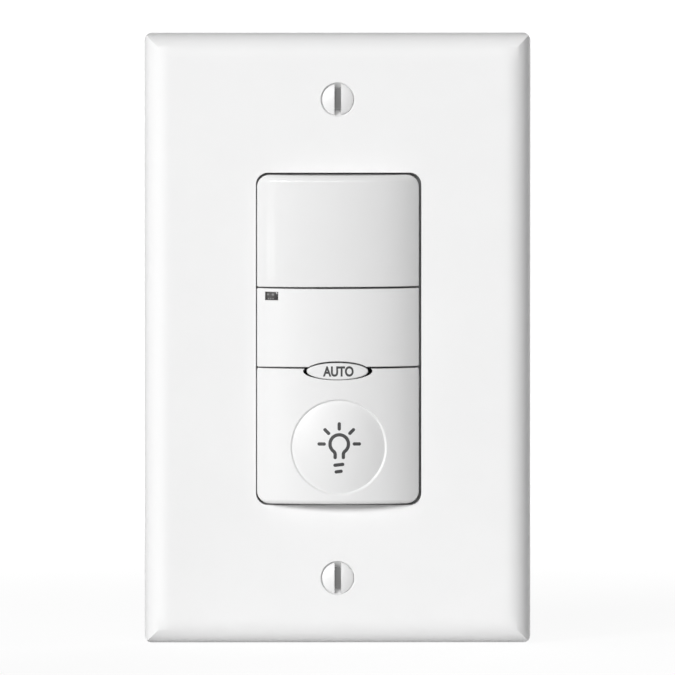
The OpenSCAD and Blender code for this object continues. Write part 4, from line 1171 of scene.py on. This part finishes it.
# The second colour is painted shade in the roots of the thread
zinc_with_painted_thread_shade("zinc_thread_painted_shade", (0.76, 0.74, 0.68), (0.12, 0.115, 0.1))
rolled_metal("cover_steel", (0.7, 0.71, 0.72), 0.3)
rolled_metal("dome_steel", (0.74, 0.74, 0.74), 0.24)
rolled_metal("sensor_can", (0.72, 0.72, 0.71), 0.26)
rolled_metal("terminal_brass", (0.78, 0.58, 0.24), 0.3, lines=(60, 1, 1))
rolled_metal("terminal_plated", (0.74, 0.73, 0.7), 0.32)
rolled_metal("winding_copper", (0.66, 0.3, 0.14), 0.34, lines=(1, 60, 1), depth=6e-6)
rolled_metal("ground_green", (0.12, 0.42, 0.2), 0.34)
moulded("retainer_fibre", (0.62, 0.5, 0.32), 0.7, skin=1500, skin_depth=2e-5, clouds=0.12)
solder_mask("board_green", (0.02, 0.12, 0.06), (0.05, 0.2, 0.1))
moulded("sensor_filter", (0.03, 0.025, 0.03), 0.15)
moulded("sensor_clear", (0.6, 0.6, 0.55), 0.2)
moulded("chip_black", (0.02, 0.02, 0.022), 0.5, skin=3000, skin_depth=6e-6, clouds=0.2)
moulded("chip_amber", (0.45, 0.25, 0.1), 0.45, skin=3000, skin_depth=4e-6, clouds=0.1)
moulded("switch_black", (0.025, 0.025, 0.027), 0.48, skin=2600, skin_depth=4e-6, clouds=0.15)
moulded("plunger_black", (0.03, 0.03, 0.032), 0.42, skin=2600, skin_depth=4e-6, clouds=0.15)
moulded("relay_blue", (0.04, 0.1, 0.35), 0.35, skin=2000, skin_depth=3e-6, clouds=0.06)
moulded("film_amber", (0.6, 0.3, 0.05), 0.3, skin=1200, skin_depth=8e-6, clouds=0.08)
moulded("sleeve_black", (0.03, 0.03, 0.035), 0.4, skin=1500, skin_depth=6e-6, clouds=0.15)
moulded("varistor_blue", (0.05, 0.16, 0.4), 0.32, skin=800, skin_depth=1.5e-5, clouds=0.08)
moulded("fuse_body", (0.7, 0.66, 0.55), 0.4, skin=1800, skin_depth=4e-6, clouds=0.06)

# CAD nodes that stay get the finish of their slot
for entry in frame["record"]["subparts"]:
    part = frame["nodes"][entry["node"]]
    part.data.materials.clear()
    part.data.materials.append(FINISH[entry["material_slot"]])

# Pieces that stand for CAD nodes
settle(make_wall_plate(), "switch_body", "plate_white", "wall_plate")
settle(make_lens(), "switch_body", "lens_pearl", "lens")
settle(make_panel(), "switch_body", "face_white", "middle_panel")
settle(make_window(), "switch_body", "window_smoke", "light_pipe")
settle(make_push_plate(), "main_button", "face_white", "main_button")
settle(make_oval(), "mode_button", "face_white", "mode_button")
main_dome = settle(make_snap_dome("main_snap_dome", DISH_Z), "switch_body", "dome_steel", "main_switch_dome")
mode_dome = settle(make_snap_dome("mode_snap_dome", OVAL_Z), "switch_body", "dome_steel", "mode_switch_dome")
for dome, joint, z in ((main_dome, "main_switch_slide", DISH_Z), (mode_dome, "mode_switch_slide", OVAL_Z)):
    z / 1000
    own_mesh(dome)
settle(make_bulb_sign(), "main_button", "window_smoke", finish="print_grey")
settle(make_word(), "mode_button", "window_smoke", finish="print_grey")

upper_plate_screw = make_plate_screw()
lower_plate_screw = lower_twin(upper_plate_screw, "plate_screw_lower", PLATE_SCREW_Z)
upper_box_screw = make_box_screw()
lower_box_screw = lower_twin(upper_box_screw, "box_screw_lower", BOX_SCREW_Z)
for screw in (upper_plate_screw, lower_plate_screw):
    settle(screw, "switch_body", "screw_white", "plate_screws")
# The box screws take zinc with painted shade in their thread grooves
for screw in (upper_box_screw, lower_box_screw):
    settle(screw, "switch_body", "screw_zinc", "box_screws", finish="zinc_thread_painted_shade")

# Housing, strap, terminals and their screws
settle(make_rear_case(), "switch_body", "housing_grey", "rear_housing")
first_case_screw = rear_screw("case_screw_1", CASE_SCREW_X, CASE_SCREW_Z, CASE_SEAT,
                              head_r=2.4, head_h=1.8, shank_r=1.2, tip=0.6)
case_screws = [first_case_screw]
for number, (across, up) in enumerate(((-1, 1), (-1, -1), (1, -1)), 2):
    copy = twin(first_case_screw, "case_screw_%d" % number)
    edit(copy)
    bpy.ops.transform.translate(value=((across - 1) * CASE_SCREW_X, 0, (up - 1) * CASE_SCREW_Z))
    done()
    case_screws.append(copy)
for screw in case_screws:
    settle(screw, "switch_body", "screw_zinc", "housing_screws")
green_screw = rear_screw("green_screw", GROUND_X, GROUND_Z, 0, head_r=3.6, head_h=2.4, shank_r=1.7, tip=-2.3)
settle(green_screw, "switch_body", "ground_green", "ground_screw")
slot_of = {entry["node"]: entry["material_slot"] for entry in frame["record"]["subparts"]}
for node, name, radius in (("mounting_strap", "steel_strap", 0.15), ("screw_retainers", "fibre_inserts", 0.1),
                           ("line_terminal", "line_plate", 0.12), ("load_terminal", "load_plate", 0.12),
                           ("neutral_terminal", "neutral_plate", 0.12), ("clamp_plates", "wire_clamps", 0.15),
                           ("terminal_screws", "binding_screws", 0.2)):
    settle(ease(from_cad(node, name), radius), "switch_body", slot_of[node], node)


# Studio
FLOOR_SIZE = 16
FLOOR_GLOW = 1.14
PURE_WHITE = (1, 1, 1, 1)
PAPER = (0.65, 0.65, 0.65, 1)
SHADOW_REACH = (0.12, 0.5)
NEAR_WHITE = 0.8
SENSOR_W = 36


def pale_floor(z):
    """Pale floor that is white to the camera and keeps a soft shadow near the switch."""
    bpy.ops.mesh.primitive_plane_add(size=FLOOR_SIZE, location=(0, 0, z))
    floor = named("floor")
    sheet = new_finish("floor_white")
    away = sheet.node("ShaderNodeVectorMath", {"operation": "LENGTH"}, {0: sheet.place()}, output=1)
    white = sheet.fade(away, *SHADOW_REACH, NEAR_WHITE, 1) * sheet.looking()
    paper = sheet.node("ShaderNodeBsdfDiffuse", {}, {"Color": PAPER})
    glow = sheet.node("ShaderNodeEmission", {}, {"Color": PURE_WHITE, "Strength": FLOOR_GLOW})
    mixed = sheet.node("ShaderNodeMixShader", {}, {0: white, 1: paper, 2: glow})
    sheet.node("ShaderNodeOutputMaterial", {}, {"Surface": mixed})
    floor.data.materials.append(FINISH["floor_white"])


def pale_world(level):
    """Even soft light all round that is white to the camera."""
    world = bpy.data.worlds.new("studio")
    world.use_nodes = True
    bpy.context.scene.world = world
    sheet = Sheet(world.node_tree)
    strength = level + (1 - level) * sheet.looking()
    sky = sheet.node("ShaderNodeBackground", {}, {"Color": PURE_WHITE, "Strength": strength})
    sheet.node("ShaderNodeOutputWorld", {}, {"Surface": sky})


def soft_lamp(name, across, up, distance, size, power):
    """Soft lamp of a width and height that faces the switch, by its angles from straight ahead."""
    a, e = radians(across), radians(up)
    spot = Vector((sin(a) * cos(e), -cos(a) * cos(e), sin(e))) * distance
    bpy.ops.object.light_add(type="AREA", location=spot, rotation=spot.to_track_quat("Z", "Y").to_euler())
    lamp = bpy.context.object
    lamp.name = name
    lamp.data.shape = "RECTANGLE"
    lamp.data.size, lamp.data.size_y = size
    lamp.data.energy = power


def photo_camera(across, up, distance, target, frame_height):
    """Camera at the photograph's angle; frame_height is what the frame spans at the target."""
    a, e = radians(across), radians(up)
    back = Vector((sin(a) * cos(e), -cos(a) * cos(e), sin(e)))
    bpy.ops.object.camera_add(location=Vector(target) + back * distance,
                              rotation=back.to_track_quat("Z", "Y").to_euler())
    camera = bpy.context.object
    camera.name = "photo_camera"
    camera.data.sensor_width = SENSOR_W
    camera.data.lens = SENSOR_W * distance / frame_height
    camera.data.clip_end = 50
    bpy.context.scene.camera = camera


bpy.context.scene.view_settings.view_transform = "Standard"
pale_floor(cad_box[0].z - 0.0002)
pale_world(0.02)
soft_lamp("key", across=-40, up=15, distance=8, size=(2.6, 1.8), power=394)
soft_lamp("front", across=-8, up=20, distance=8, size=(8.0, 1.8), power=294)
soft_lamp("back", across=148, up=15, distance=8, size=(5.0, 3.0), power=400)
soft_lamp("strip", across=-50, up=-1.8, distance=0.9, size=(0.17, 0.015), power=0.048)
photo_camera(across=-0.6, up=3.25, distance=4.0, target=(0.0, -0.001, 0.0), frame_height=0.13655)
